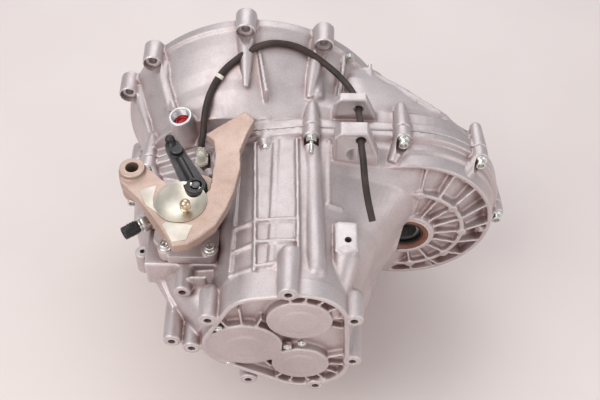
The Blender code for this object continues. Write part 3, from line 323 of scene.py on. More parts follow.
class Finish:
    """A Principled material and short ways to add nodes to it. Patterns are in metres, on the object."""

    def __init__(self, name, roughness=0.4, metallic=0.0, coat=0.0):
        self.material = bpy.data.materials.new(name)
        self.material.use_nodes = True
        self.tree = self.material.node_tree
        self.shader = self.tree.nodes["Principled BSDF"]
        self.shader.inputs["Roughness"].default_value = roughness
        self.shader.inputs["Metallic"].default_value = metallic
        self.shader.inputs["Coat Weight"].default_value = coat
        self.place = self.tree.nodes.new("ShaderNodeTexCoord").outputs["Object"]

    def link(self, output, socket):
        self.tree.links.new(output, socket)
        return self

    def noise(self, scale, detail=4.0, stretch=None):
        node = self.tree.nodes.new("ShaderNodeTexNoise")
        node.inputs["Scale"].default_value = scale
        node.inputs["Detail"].default_value = detail
        place = self.place
        if stretch:
            mapping = self.tree.nodes.new("ShaderNodeMapping")
            mapping.inputs["Scale"].default_value = stretch
            self.link(place, mapping.inputs["Vector"])
            place = mapping.outputs["Vector"]
        self.link(place, node.inputs["Vector"])
        return node.outputs["Fac"]

    def bands(self, scale, direction="Y"):
        node = self.tree.nodes.new("ShaderNodeTexWave")
        node.bands_direction = direction
        node.inputs["Scale"].default_value = scale
        node.inputs["Distortion"].default_value = 0.4
        self.link(self.place, node.inputs["Vector"])
        return node.outputs["Fac"]

    def pointed(self):
        return self.tree.nodes.new("ShaderNodeNewGeometry").outputs["Pointiness"]

    def hollow(self, reach):
        """Ambient occlusion: 1 on open surfaces and less in corners and pockets. The cast finishes paint
        shade by it.
        """
        node = self.tree.nodes.new("ShaderNodeAmbientOcclusion")
        node.samples = 8
        node.inputs["Distance"].default_value = reach
        return node.outputs["AO"]

    def ramp(self, factor, *stops):
        """stops are (position, value) with a colour or a number."""
        node = self.tree.nodes.new("ShaderNodeValToRGB")
        band = node.color_ramp
        while len(band.elements) < len(stops):
            band.elements.new(0.5)
        for element, (position, value) in zip(band.elements, stops):
            element.position = position
            element.color = (value, value, value, 1) if isinstance(value, float) else (*value, 1)
        self.link(factor, node.inputs["Fac"])
        return node.outputs["Color"]

    def mix(self, factor, low, high, blend="MIX"):
        node = self.tree.nodes.new("ShaderNodeMix")
        node.data_type = "RGBA"
        node.blend_type = blend
        if isinstance(factor, float):
            node.inputs["Factor"].default_value = factor
        else:
            self.link(factor, node.inputs["Factor"])
        self.link(low, node.inputs[6])
        self.link(high, node.inputs[7])
        return node.outputs[2]

    def colour(self, output):
        return self.link(output, self.shader.inputs["Base Color"])

    def roughness(self, factor, low, high):
        return self.link(self.ramp(factor, (0.3, low), (0.7, high)), self.shader.inputs["Roughness"])

    def bump(self, *layers):
        """layers are (height, strength, distance in metres)."""
        below = None
        for height, strength, distance in layers:
            node = self.tree.nodes.new("ShaderNodeBump")
            node.inputs["Strength"].default_value = strength
            node.inputs["Distance"].default_value = distance
            self.link(height, node.inputs["Height"])
            if below:
                self.link(below, node.inputs["Normal"])
            below = node.outputs["Normal"]
        return self.link(below, self.shader.inputs["Normal"])


def cast_finish(name, dark, light, shade_colour, edge, low=0.42, high=0.56, grain=0.25, metallic=0.74):
    """As-cast metal: cloudy colour with painted shade that darkens corners and pockets through ambient
    occlusion, brighter on worn edges, with a sand grain.
    """
    made = Finish(name, metallic=metallic)
    cloud = made.ramp(made.noise(14, 5), (0.3, dark), (0.72, light))
    speck = made.ramp(made.noise(520, 2), (0.3, (0.86, 0.86, 0.86)), (0.7, (1.0, 1.0, 1.0)))
    body = made.mix(1.0, cloud, speck, "MULTIPLY")
    # Painted shade: the ambient-occlusion mask lays a darker brownish colour in corners and pockets
    hollow = made.ramp(made.hollow(0.014), (0.35, 1.0), (0.95, 0.0))
    ridge_line = made.ramp(made.pointed(), (0.515, 0.0), (0.60, 1.0))
    painted_shade = made.ramp(made.noise(40), (0.3, shade_colour), (0.7, [c * 1.15 for c in shade_colour]))
    body = made.mix(hollow, body, painted_shade)
    worn = made.ramp(made.noise(60), (0.3, [c * 0.94 for c in edge]), (0.7, edge))
    body = made.mix(ridge_line, body, worn)
    made.colour(body).roughness(made.noise(90, 4), low, high)
    made.bump((made.noise(160, 3), grain * 0.6, 0.0006), (made.noise(900, 2), grain, 0.0003))
    return made.material


def machined_finish(name, dark, light, low=0.2, high=0.34, direction="Y"):
    """Turned or milled metal with fine tool marks."""
    made = Finish(name, metallic=1.0)
    made.colour(made.ramp(made.noise(70, 4), (0.3, dark), (0.7, light)))
    made.roughness(made.noise(300, 3, (1, 6, 1)), low, high)
    made.bump((made.bands(520, direction), 0.10, 0.0002), (made.noise(500, 2), 0.08, 0.0002))
    return made.material


def moulded_finish(name, dark, light, low, high, grain=0.2, coat=0.0):
    """Plastic or rubber with a slight grain and uneven colour."""
    made = Finish(name, coat=coat)
    made.colour(made.ramp(made.noise(110, 5), (0.3, dark), (0.7, light)))
    made.roughness(made.noise(240, 3), low, high)
    made.bump((made.noise(1400, 2), grain, 0.0002))
    return made.material


def hose_finish():
    """Braided rubber: dusty brown-black with a fine helical weave."""
    made = Finish("hose_rubber")
    made.colour(made.ramp(made.noise(60, 6), (0.32, (0.018, 0.012, 0.010)), (0.72, (0.060, 0.036, 0.028))))
    made.roughness(made.noise(180, 3), 0.42, 0.62)
    made.bump((made.bands(900, "DIAGONAL"), 0.25, 0.0003), (made.noise(1500, 2), 0.2, 0.0002))
    return made.material


# In each cast finish the third colour is painted shade for corners and pockets, and the fourth is the colour
# of worn edges
FINISHES = {
    "cast_aluminium": cast_finish("cast_aluminium", (0.56, 0.49, 0.485), (0.68, 0.61, 0.605),
                                  (0.34, 0.235, 0.22), (0.84, 0.81, 0.80)),
    "machined_aluminium": machined_finish("machined_aluminium", (0.60, 0.58, 0.58), (0.74, 0.72, 0.72),
                                          0.26, 0.40),
    "gear_steel": machined_finish("gear_steel", (0.36, 0.36, 0.38), (0.52, 0.52, 0.54), 0.22, 0.38),
    "bearing_steel": machined_finish("bearing_steel", (0.55, 0.55, 0.57), (0.70, 0.70, 0.72), 0.12, 0.22),
    "carrier_iron": cast_finish("carrier_iron", (0.20, 0.19, 0.18), (0.32, 0.30, 0.29), (0.12, 0.09, 0.08),
                                (0.45, 0.44, 0.43), 0.38, 0.54, 0.25, 0.9),
    "counterweight_iron": cast_finish("counterweight_iron", (0.50, 0.355, 0.29), (0.64, 0.49, 0.42),
                                      (0.28, 0.20, 0.16), (0.84, 0.79, 0.74), 0.42, 0.56, 0.2, 0.75),
    "pale_gold": machined_finish("pale_gold", (0.62, 0.57, 0.48), (0.78, 0.73, 0.63), 0.36, 0.50),
    "cream_iron": machined_finish("cream_iron", (0.62, 0.56, 0.48), (0.75, 0.69, 0.61), 0.46, 0.60,
                                  "DIAGONAL"),
    "gold_steel": machined_finish("gold_steel", (0.52, 0.41, 0.29), (0.68, 0.57, 0.43), 0.20, 0.32),
    "black_steel": cast_finish("black_steel", (0.045, 0.042, 0.045), (0.085, 0.08, 0.08),
                               (0.02, 0.018, 0.018), (0.30, 0.29, 0.29), 0.34, 0.50, 0.3, 0.85),
    "plated_steel": machined_finish("plated_steel", (0.66, 0.66, 0.62), (0.84, 0.84, 0.80), 0.18, 0.30),
    "seal_rubber": moulded_finish("seal_rubber", (0.16, 0.055, 0.03), (0.26, 0.10, 0.055), 0.36, 0.5),
    "dark_rubber": moulded_finish("dark_rubber", (0.010, 0.009, 0.009), (0.022, 0.02, 0.02), 0.3, 0.5),
    "hose_rubber": hose_finish(),
    "black_plastic": moulded_finish("black_plastic", (0.012, 0.012, 0.013), (0.03, 0.03, 0.032), 0.28, 0.42),
    "white_plastic": moulded_finish("white_plastic", (0.70, 0.66, 0.55), (0.84, 0.81, 0.72), 0.3, 0.42, 0.12),
    "red_plastic": moulded_finish("red_plastic", (0.42, 0.01, 0.015), (0.62, 0.02, 0.03), 0.22, 0.34,
                                  0.1, 0.4),
}


# ---------------------------------------------------------------- shapes

def rod(start, end, radius, end_radius=None, sides=32):
    """A cylinder or cone between two points."""
    start, end = Vector(start), Vector(end)
    way = end - start
    shape = bmesh.new()
    bmesh.ops.create_cone(
        shape, cap_ends=True, segments=sides, radius1=radius,
        radius2=radius if end_radius is None else end_radius, depth=way.length,
        matrix=Matrix.Translation((start + end) / 2) @ way.to_track_quat("Z", "Y").to_matrix().to_4x4())
    return shape


def along_y(at, y0, y1, radius, end_radius=None, sides=48):
    return rod((at[0], y0, at[1]), (at[0], y1, at[1]), radius, end_radius, sides)


def along_z(at, z0, z1, radius, end_radius=None, sides=48):
    return rod((*at, z0), (*at, z1), radius, end_radius, sides)


def ball(at, radius, sides=24):
    shape = bmesh.new()
    bmesh.ops.create_uvsphere(shape, u_segments=sides, v_segments=sides // 2, radius=radius,
                              matrix=Matrix.Translation(at))
    return shape


def block(low, high):
    shape = bmesh.new()
    bmesh.ops.create_cube(shape, size=1)
    low, high = Vector(low), Vector(high)
    bmesh.ops.scale(shape, vec=high - low, verts=shape.verts)
    bmesh.ops.translate(shape, vec=(low + high) / 2, verts=shape.verts)
    return shape


def prism(outline, low, high, axis="Z"):
    """A flat outline pushed from low to high along Z, or along Y with the outline in X and Z."""
    shape = bmesh.new()
    spot = (lambda a, b, c: (a, b, c)) if axis == "Z" else (lambda a, b, c: (a, c, b))
    rings = [[shape.verts.new(spot(a, b, c)) for a, b in outline] for c in (low, high)]
    for index in range(len(outline)):
        after = (index + 1) % len(outline)
        shape.faces.new((rings[0][index], rings[0][after], rings[1][after], rings[1][index]))
    shape.faces.new(rings[0])
    shape.faces.new(rings[1])
    return shape


def turned(profile, start, way, sides=48):
    """A closed lathe shape: (radius, distance) points along way from start. Off the axis it is a ring."""
    shape = bmesh.new()
    start, way = Vector(start), Vector(way).normalized()
    across = way.orthogonal().normalized()
    other = way.cross(across)
    rings = []
    for radius, reach in profile:
        if radius == 0:
            rings.append([shape.verts.new(start + way * reach)] * sides)
            continue
        rings.append([shape.verts.new(start + way * reach + across * (radius * math.cos(turn))
                                      + other * (radius * math.sin(turn)))
                      for turn in (math.tau * step / sides for step in range(sides))])
    pairs = list(zip(rings, rings[1:]))
    if profile[0][0]:
        pairs.append((rings[-1], rings[0]))
    for near, far in pairs:
        for index in range(sides):
            after = (index + 1) % sides
            corners = dict.fromkeys((near[index], near[after], far[after], far[index]))
            if len(corners) > 2:
                shape.faces.new(list(corners))
    return shape


def ridge(points, radius, end_radius=None):
    """A round-backed rib along a line of points."""
    end_radius = radius if end_radius is None else end_radius
    shapes = []
    for index, (here, after) in enumerate(zip(points, points[1:])):
        near, far = [radius + (end_radius - radius) * (index + step) / (len(points) - 1) for step in (0, 1)]
        shapes += [rod(here, after, near, far, 20), ball(here, near, 20), ball(after, far, 20)]
    return shapes


def blade(points, thick, depth, down=(0, 0, -1)):
    """A thin upright rib whose crest follows the points and whose foot is depth below it."""
    down = Vector(down).normalized()
    shapes = []
    for here, after in zip(points, points[1:]):
        here, after = Vector(here), Vector(after)
        way = (after - here).normalized()
        side = way.cross(down).normalized() * thick / 2
        here, after = here - way * thick / 3, after + way * thick / 3
        shape = bmesh.new()
        tops = [shape.verts.new(at + turn * side)
                for at, turn in ((here, 1), (here, -1), (after, -1), (after, 1))]
        feet = [shape.verts.new(top.co + down * depth) for top in tops]
        shape.faces.new(tops)
        shape.faces.new(feet)
        for index in range(4):
            other = (index + 1) % 4
            shape.faces.new((tops[index], tops[other], feet[other], feet[index]))
        shapes.append(shape)
    return shapes


def wrap(discs, count, centre, grow):
    """The taut outline round a set of (x, z, radius) discs, as count points at even angles about centre."""
    cloud = [(x + (r + grow) * math.cos(a), z + (r + grow) * math.sin(a))
             for x, z, r in discs for a in (math.tau * step / 120 for step in range(120))]
    hull = [Vector(cloud[index]) for index in convex_hull_2d(cloud)]
    middle = Vector(centre)
    outline = []
    for step in range(count):
        angle = math.tau * step / count
        far = middle + Vector((math.cos(angle), math.sin(angle))) * 900
        for first, second in zip(hull, hull[1:] + hull[:1]):
            hit = intersect_line_line_2d(middle, far, first, second)
            if hit:
                outline.append(tuple(hit))
                break
    return outline


def loft(sections, centre=(50.0, 0.0), count=None):
    """A solid through (y, discs, grow) sections, each wrapped in its taut outline."""
    count = count or RINGS
    shape = bmesh.new()
    rings = []
    for y, discs, grow in sections:
        rings.append([shape.verts.new((x, y, z)) for x, z in wrap(discs, count, centre, grow)])
    for near, far in zip(rings, rings[1:]):
        for index in range(count):
            after = (index + 1) % count
            shape.faces.new((near[index], near[after], far[after], far[index]))
    shape.faces.new(rings[0])
    shape.faces.new(rings[-1])
    return shape


def rim(discs, wide, y0, y1, centre=(50.0, 0.0)):
    """A wall of even thickness that follows the taut outline of the discs."""
    outlines = [wrap(discs, RINGS, centre, grow) for grow in (0, -wide)]
    shape = bmesh.new()
    rings = [[shape.verts.new((x, y, z)) for x, z in outlines[side]]
             for side, y in ((0, y0), (0, y1), (1, y1), (1, y0))]
    for near, far in zip(rings, rings[1:] + rings[:1]):
        for index in range(RINGS):
            after = (index + 1) % RINGS
            shape.faces.new((near[index], near[after], far[after], far[index]))
    return shape


def top_of(discs, x, grow=0):
    """The highest Z of the taut outline round the discs, at this X."""
    outline = wrap(discs, RINGS, (50.0, 0.0), grow)
    heights = [here[1] + (after[1] - here[1]) * (x - here[0]) / (after[0] - here[0])
               for here, after in zip(outline, outline[1:] + outline[:1])
               if (here[0] - x) * (after[0] - x) < 0]
    return max(heights)


def on_case(x, y, above):
    """A point this far above the gear case's roof."""
    for (near, discs, grow), (far, later, growth) in zip(BODY_SECTIONS, BODY_SECTIONS[1:]):
        if far <= y <= near:
            share = (near - y) / (near - far)
            height = top_of(discs, x, grow) * (1 - share) + top_of(later, x, growth) * share
            return Vector((x, y, height + above))
    raise ValueError(f"station {y} is off the gear case")


# ---------------------------------------------------------------- pieces

def to_mesh(name, shapes):
    """One mesh of several closed shapes, in the frame's metres."""
    joined = bpy.data.meshes.new(name)
    whole = bmesh.new()
    for shape in shapes:
        bmesh.ops.recalc_face_normals(shape, faces=shape.faces)
        shape.to_mesh(joined)
        whole.from_mesh(joined)
        shape.free()
    for vert in whole.verts:
        vert.co = world(vert.co)
    whole.to_mesh(joined)
    whole.free()
    return joined


def settle(piece):
    """Applies the modifiers."""
    graph = bpy.context.evaluated_depsgraph_get()
    done = bpy.data.meshes.new_from_object(piece.evaluated_get(graph), depsgraph=graph)
    piece.modifiers.clear()
    piece.data = done


def new_object(name, shapes):
    made = bpy.data.objects.new(name, to_mesh(name, shapes))
    bpy.context.scene.collection.objects.link(made)
    return made


def finish_piece(piece, finish, body, nodes=()):
    piece.data.materials.clear()
    piece.data.materials.append(FINISHES[finish])
    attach(piece, body)
    if nodes:
        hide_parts(*nodes)
    return piece


def crisp(name, shapes, finish, body="housing", nodes=(), bevel=0.5):
    """A piece with machined edges."""
    made = new_object(name, shapes)
    edge = made.modifiers.new("edge", "BEVEL")
    edge.width = bevel * MM
    edge.segments = 2
    edge.limit_method = "ANGLE"
    edge.angle_limit = math.radians(40)
    settle(made)
    made.data.shade_smooth()
    made.data.set_sharp_from_angle(angle=math.radians(38))
    return finish_piece(made, finish, body, nodes)


def cast(name, shells, finish, body, nodes, carve=(), bores=(), voxel=1.5, rounds=4, faces=None):
    """A casting: shells fused and rounded, with carve cut before the rounding and bores after it."""
    made = new_object(name, shells)
    helpers = []

    def fuse(label):
        remesh = made.modifiers.new(label, "REMESH")
        remesh.mode = "VOXEL"
        remesh.voxel_size = voxel * MM * DRAFT
        remesh.use_smooth_shade = True

    def cut(shape, label):
        helper = new_object(f"{name}_{label}", [shape])
        helper.hide_render = True
        helpers.append(helper)
        boolean = made.modifiers.new(label, "BOOLEAN")
        boolean.operation = "DIFFERENCE"
        boolean.solver = "MANIFOLD"
        boolean.object = helper

    fuse("fused")
    for index, shape in enumerate(carve):
        cut(shape, f"carve_{index:02d}")
    if carve:
        fuse("fused_again")
    smooth = made.modifiers.new("rounded", "SMOOTH")
    smooth.factor = 0.5
    smooth.iterations = rounds
    for index, shape in enumerate(bores):
        cut(shape, f"bore_{index:02d}")
    settle(made)
    for helper in helpers:
        bpy.data.objects.remove(helper)
    if faces and len(made.data.polygons) * 2 > faces:
        thin = made.modifiers.new("thin", "DECIMATE")
        thin.ratio = faces / (len(made.data.polygons) * 2)
        settle(made)
    made.data.shade_smooth()
    made.data.set_sharp_from_angle(angle=math.radians(50))
    return finish_piece(made, finish, body, nodes)


def on_circle(centre, radius, angle):
    """The (x, z) place at this angle, in degrees, on a circle."""
    turn = math.radians(angle)
    return centre[0] + radius * math.cos(turn), centre[1] + radius * math.sin(turn)


def lug_places():
    return [on_circle(INPUT_AXIS, LUG_CIRCLE, angle) for angle in LUG_ANGLES]


def case_bolt_places():
    return [*BODY_BOLTS, *(on_circle(DIFF_AXIS, DIFF_BOLT_CIRCLE, angle) for angle in DIFF_BOLT_ANGLES)]


def ear(y0, y1, top):
    """A flat lug above the joint that holds the hose."""
    x0, x1 = EAR_X
    outline = (x0, 86), (x1 + 4, 86), (x1 + 4, 122), (x1 - 10, top), (x0 + 8, top), (x0, top - 8)
    return prism(outline, y0, y1, "Y")


def make_clutch_housing():
    """The bell with its lugs and fairings, the joint flange, and the front half of the final drive."""
    shells = [loft(BELL_SECTIONS)]
    bores = []
    for x, z in lug_places():
        shells.append(along_y((x, z), -0.3, -34, 14, 13))
        near, far = Vector((x, z)) * 0.93, Vector((x, z)) * 0.80
        shells.append(rod((near.x, -18, near.y), (far.x, -92, far.y), 13.5, 3.5))
        bores.append(turned(((0, 4), (5.5, 4), (5.5, LUG_SEAT_Y), (11.6, LUG_SEAT_Y), (11.6, -64), (0, -64)),
                            (x, 0, z), (0, 1, 0)))
    for x, z in case_bolt_places():
        shells.append(along_y((x, z), -96, JOINT_Y + JOINT_GAP, 8, 11))
        shells.append(ball((x, -96, z), 8))
    shells += [rod((16, -73, 116), (17, -118, 110), 9, 15), ball((16, -73, 116), 9)]
    shells.append(along_y(DIFF_AXIS, -48, -98, 44, 50))
    shells.append(along_y(DIFF_AXIS, -90, -124, 100, 118))
    shells += [rod(PORT_FOOT, PORT_MOUTH, 17, 15), ball(PORT_FOOT, 19)]
    shells.append(ear(-104, -117, 156))
    for points, radius, end_radius in DOME_RIDGES:
        shells += ridge(points, radius, end_radius)
    for points, thick, depth in DOME_FINS:
        shells += blade(points, thick, depth)
    for points, thick, depth in DOME_UNDER_FINS:
        shells += blade(points, thick, depth, UP)
    shells.append(loft(WALL_SECTIONS, centre=(145.0, 93.0)))
    bores.append(loft(BELL_SPACE, centre=(0.0, 0.0)))
    bores.append(loft(FRONT_GEAR_SPACE))
    bores.append(along_y(DIFF_AXIS, -103.5, -140, 114))
    bores += [along_y(at, -93.8, -110, 32.4) for at in (INPUT_AXIS, UPPER_AXIS, LOWER_AXIS)]
    bores.append(along_y(INPUT_AXIS, -80, -100, 20))
    bores.append(turned(((0, -36), (30.3, -36), (30.3, -71), (37.4, -71), (37.4, -110), (0, -110)),
                        DIFF_START, TOWARDS_ENGINE))
    way = (PORT_MOUTH - PORT_FOOT).normalized()
    bores.append(rod(PORT_MOUTH - way * 24, PORT_MOUTH + way * 5, 11.4))
    bores.append(along_y(BACK_HOSE_HOLE, -95, -125, 6.5))
    cast("clutch_housing_casting", shells, "cast_aluminium", "housing", ("clutch_housing",),
         bores=bores, voxel=1.6, faces=196000)


def spokes(centre, inner, outer, angles, y, foot, thick=3.0):
    """Ribs that run outwards from a round boss on the end wall."""
    shapes = []
    for angle in angles:
        near, far = on_circle(centre, inner, angle), on_circle(centre, outer, angle)
        shapes += blade(((near[0], y, near[1]), (far[0], y, far[1])), thick, foot, TOWARDS_ENGINE)
    return shapes


def differential_cover():
    """The round cover over the final drive: two rings joined by spokes, round a boss for the seal."""
    shapes = [along_y(DIFF_AXIS, -150, -168, 118, 115), along_y(DIFF_AXIS, -166, -187, 106, 72),
              along_y(DIFF_AXIS, -180, -203, 42, 37)]
    for ring in ((116, -160), (114, -182), (108.5, -182), (108.5, -160)), (
            (77.5, -176), (76.5, -196), (71, -196), (71, -176)):
        shapes.append(turned(ring, DIFF_START, TOWARDS_ENGINE, RINGS))
    for angle in DIFF_SPOKE_ANGLES:
        crest = []
        for reach, y in ((36, -199), (74, -195), (111, -181)):
            x, z = on_circle(DIFF_AXIS, reach, angle)
            crest.append((x, y, z))
        shapes += blade(crest, 2.9, 24, TOWARDS_ENGINE)
    for angle in DIFF_SPOKE_ANGLES[1::2]:
        shapes.append(along_y(on_circle(DIFF_AXIS, 74, angle), -180, -197, 6.5, 6))
    return shapes


def end_wall():
    """The rim, the bearing caps with their raised circles, and the ribs in the pockets between them."""
    shapes = [rim(END_DISCS, 6, -352, END_Y)]
    for at, radius in END_CAPS:
        shapes.append(along_y(at, -356, END_Y + 1.6, radius))
        shapes.append(along_y(at, -356, END_Y + 0.2, 21.5, 21))
    for axis, inner, outer, angles in END_SPOKES:
        shapes += spokes(axis, inner, outer, angles, -371, 14)
    for at, start in zip(END_BOSSES, END_BOSS_STARTS):
        shapes.append(along_y(at, start, END_Y - 0.4, 12.5, 11))
        shapes.append(ball((at[0], start, at[1]), 12.5))
    return shapes


def case_top():
    """The ribs, ridges, pads and lugs that stand on the gear case."""
    shapes = []
    for crest in ROOF_LONG_RIBS:
        shapes += blade([on_case(x, y, 5) for x, y in crest], 3.8, 16)
    shapes += blade([on_case(34, y, 1.6) for y in (-152, -256, -330)], 12, 10)
    shapes += blade([on_case(46, y, 1.6) for y in (-152, -256, -330)], 20, 10)
    for crest in ROOF_CROSS_RIBS:
        shapes += blade([on_case(x, y, 4.5) for x, y in crest], 3.8, 16)
    shapes += ridge([on_case(x, y, -6) for x, y in ((76, -149), (79, -250), (82, -336))], 12)
    shapes += blade([on_case(x, -241, 3) for x in (96, 112)], 4, 20)
    shapes += blade([on_case(97, y, 2) for y in (-152, -200, -240)], 4, 20)
    shapes.append(prism(PAD_OUTLINE, 60, 100.5))
    shapes += ridge(((116, -306, 84), (108, -336, 72), (104, -356, 66)), 17, 13)
    # Left flank
    shapes += [along_z((-110, -273), 10, 52, 12, 10), along_z((-132, -262), 0, 34, 10, 9)]
    shapes += [along_y((-74, 50), -300, -332, 11, 10), along_y((-88, 0), -300, END_Y + 6, 12.5, 11)]
    shapes += ridge(((-74, -300, 50), (-98, -240, 46), (-118, -190, 44)), 7, 6)
    shapes += blade(((-66, -318, 62), (-46, -322, 70)), 4, 40)
    shapes += blade(((-140, -196, 36), (-112, -285, 34), (-88, -330, 16)), 5, 18)
    shapes += blade(((-150, -160, 2), (-118, -262, 0), (-92, -330, -4)), 5, 16, (1, 0, 0))
    shapes += blade(((-60, -160, -70), (-40, -330, -40)), 5, 18, UP)
    # Underside
    shapes += blade(((40, -150, -120), (50, -340, -98)), 5, 30, UP)
    shapes += blade(((90, -150, -122), (88, -340, -98)), 5, 30, UP)
    shapes.append(along_z((120, -210), -120, -80, 16))
    return shapes


def make_gear_case():
    """The rear casting: gear space, ribbed differential cover, end wall and the seat of the selector."""
    shells = [loft(BODY_SECTIONS), loft(SHOULDER_SECTIONS, centre=(0.0, 0.0)),
              loft(SUMP_SECTIONS, centre=(100.0, -40.0))]
    for x, z in case_bolt_places():
        shells.append(along_y((x, z), JOINT_Y - JOINT_GAP, BOLT_SEAT_Y, 11))
        inward = Vector((x - 50, z)) * 0.90
        shells.append(rod((x, BOLT_SEAT_Y + 4, z), (50 + inward.x, -178, inward.y), 10.5, 6))
    shells += differential_cover() + end_wall() + case_top()
    shells.append(ear(-160, -181, 163))
    shells.append(block((-122, -300, 20), (-29, -192, 60.3)))
    bores = [loft(GEAR_SPACE), along_y(DIFF_AXIS, -130, -160, 113, 108)]
    bores += [along_y(at, -300, -334.8, 32.4) for at in (INPUT_AXIS, UPPER_AXIS, LOWER_AXIS)]
    bores.append(turned(((0, -210), (30.3, -210), (30.3, -194), (37.4, -194), (37.4, -150), (0, -150)),
                        DIFF_START, TOWARDS_ENGINE))
    for x, z in case_bolt_places():
        if (x, z) != BURIED_BOLT:
            depth = -163 if (x, z) == STUD_BOLT else -172
            bores.append(along_y((x, z), BOLT_SEAT_Y, depth, 9.6))
    bores += [along_y(at, -345, END_Y - 5, 4.4) for at in END_BOSSES]
    bores.append(along_y((-88, 0), -345, END_Y - 5, 4.4))
    bores.append(block((-140, -300.5, 60.3), (-32.6, -194.5, 110)))
    bores.append(along_z(SELECTOR_AXIS, 10, 80, 22))
    bores.append(along_y(FRONT_HOSE_HOLE, -150, -200, 6.5))
    bores.append(along_y(EAR_HOLE, -150, -200, 11))
    for at, low, high, radius in CASE_TAPPED_HOLES:
        bores.append(along_z(at, low, high, radius))
    bores.append(along_y((-74, 50), -312, -340, 4.6))
    cast("gear_case_casting", shells, "cast_aluminium", "housing", ("gear_case",),
         bores=bores, voxel=1.5, faces=198000)


def make_fasteners():
    """Joint bolts with their washers, the pin stud, the end wall's studs and the rings on the lug seats."""
    bolts, washers, seats, studs = [], [], [], []
    for x, z in case_bolt_places():
        washers.append(turned(WASHER_PROFILE, (x, BOLT_SEAT_Y, z), FROM_ENGINE))
        if (x, z) == STUD_BOLT:
            bolts += [rod((x, BOLT_SEAT_Y, z), (x, BOLT_SEAT_Y - 8, z), 7.4, sides=6),
                      turned(LONG_STUD_PROFILE, (x, BOLT_SEAT_Y - 2, z), FROM_ENGINE)]
            continue
        bolts.append(turned(BOLT_PROFILE, (x, BOLT_SEAT_Y - 1.6, z), FROM_ENGINE))
    for x, z in lug_places():
        seats.append(turned(LUG_SEAT_PROFILE, (x, LUG_SEAT_Y, z), TOWARDS_ENGINE))
    for x, z in END_STUDS:
        foot = (x, END_FLOOR_Y - 6, z)
        studs += [rod(foot, (x, END_Y + 2, z), 5.6, sides=6),
                  turned(SHORT_STUD_PROFILE, foot, FROM_ENGINE)]
    for at in (*END_BOSSES, (-88, 0)):
        y = END_Y + 6 if at == (-88, 0) else END_Y - 0.4
        seats.append(turned(BOSS_SEAT_PROFILE, (at[0], y, at[1]), TOWARDS_ENGINE))
    for x, z in ((124, 137), (135, 108)):
        studs.append(rod((x, -16, z), (x, -24, z), 6, sides=6))
    crisp("joint_bolts", bolts, "plated_steel")
    crisp("joint_washers", washers, "plated_steel", bevel=0.3)
    crisp("machined_seats", seats, "machined_aluminium", bevel=0.15)
    crisp("case_studs", studs, "plated_steel", bevel=0.3)


def make_port():
    """The clutch pipe's union: a bright threaded mouth with a red plug set down in it."""
    way = (PORT_MOUTH - PORT_FOOT).normalized()
    thread = [turned(((11.6, step), (10.5, step + 0.9), (11.6, step + 1.8)), PORT_MOUTH - way * 12, way)
              for step in (0, 1.9, 3.8, 5.7, 7.6, 9.5)]
    crisp("port_thread", thread, "machined_aluminium", bevel=0.1)
    crisp("port_rim", [turned(PORT_RIM_PROFILE, PORT_MOUTH, way)], "machined_aluminium",
          bevel=0.3)
    crisp("port_plug", [turned(PORT_PLUG_PROFILE, PORT_MOUTH - way * 21, way)], "red_plastic",
          nodes=("hydraulic_port_plug",), bevel=0.4)


def make_seals():
    """Lip seals: a brown carcass with a raised bead, and a black lip round the bore."""
    for name, y, way in (("front", -58, 1), ("rear", -198.5, -1)):
        at = (DIFF_AXIS[0], y + way * 0.5, DIFF_AXIS[1])
        carcass = turned(SEAL_PROFILE, at, (0, way, 0), FINE_SIDES)
        lip = turned(SEAL_LIP_PROFILE, at, (0, way, 0), FINE_SIDES)
        crisp(f"seal_{name}", [carcass], "seal_rubber", nodes=(f"driveshaft_seal_{name}",), bevel=0.3)
        crisp(f"seal_lip_{name}", [lip], "dark_rubber", bevel=0.3)


def make_release():
    """The slave cylinder with its bellows and the release bearing, both round the input shaft."""
    at = (0, -74.5, 0)
    body = turned(SLAVE_PROFILE, at, TOWARDS_ENGINE, FINE_SIDES)
    ribs = [turned(((41.4, y), (41.4, y + 2.4), (39, y + 2.4), (39, y)), at, TOWARDS_ENGINE, FINE_SIDES)
            for y in (-9, -3, 3)]
    crisp("slave_cylinder_body", [body, *ribs], "black_plastic", nodes=("slave_cylinder",))
    race = turned(RACE_PROFILE, (0, -54, 0), TOWARDS_ENGINE, FINE_SIDES)
    shield = turned(SHIELD_PROFILE, (0, -54, 0), TOWARDS_ENGINE, FINE_SIDES)
    crisp("release_bearing_race", [race, shield], "bearing_steel", body="release", nodes=("release_bearing",))


def make_spline():
    """Clutch splines over the front of the input shaft."""
    teeth = []
    for step in range(SPLINE_TEETH):
        turn = math.tau * step / SPLINE_TEETH
        tooth = block((-0.9, -60, 10.4), (0.9, -14, 12.6))
        bmesh.ops.rotate(tooth, cent=(0, 0, 0), matrix=Matrix.Rotation(turn, 3, "Y"), verts=tooth.verts)
        teeth.append(tooth)
    crisp("input_spline", teeth, "gear_steel", body="input", bevel=0.25)


def capsule(start, end, start_radius, end_radius, steps=24):
    """The outline round two circles of unlike size."""
    start, end = Vector(start), Vector(end)
    way = math.atan2(end.y - start.y, end.x - start.x)
    lean = math.acos((start_radius - end_radius) / (end - start).length)
    outline = []
    for centre, radius, first, last in ((start, start_radius, way + lean, way + math.tau - lean),
                                        (end, end_radius, way - lean, way + lean)):
        for step in range(steps + 1):
            angle = first + (last - first) * step / steps
            outline.append((centre.x + radius * math.cos(angle), centre.y + radius * math.sin(angle)))
    return outline


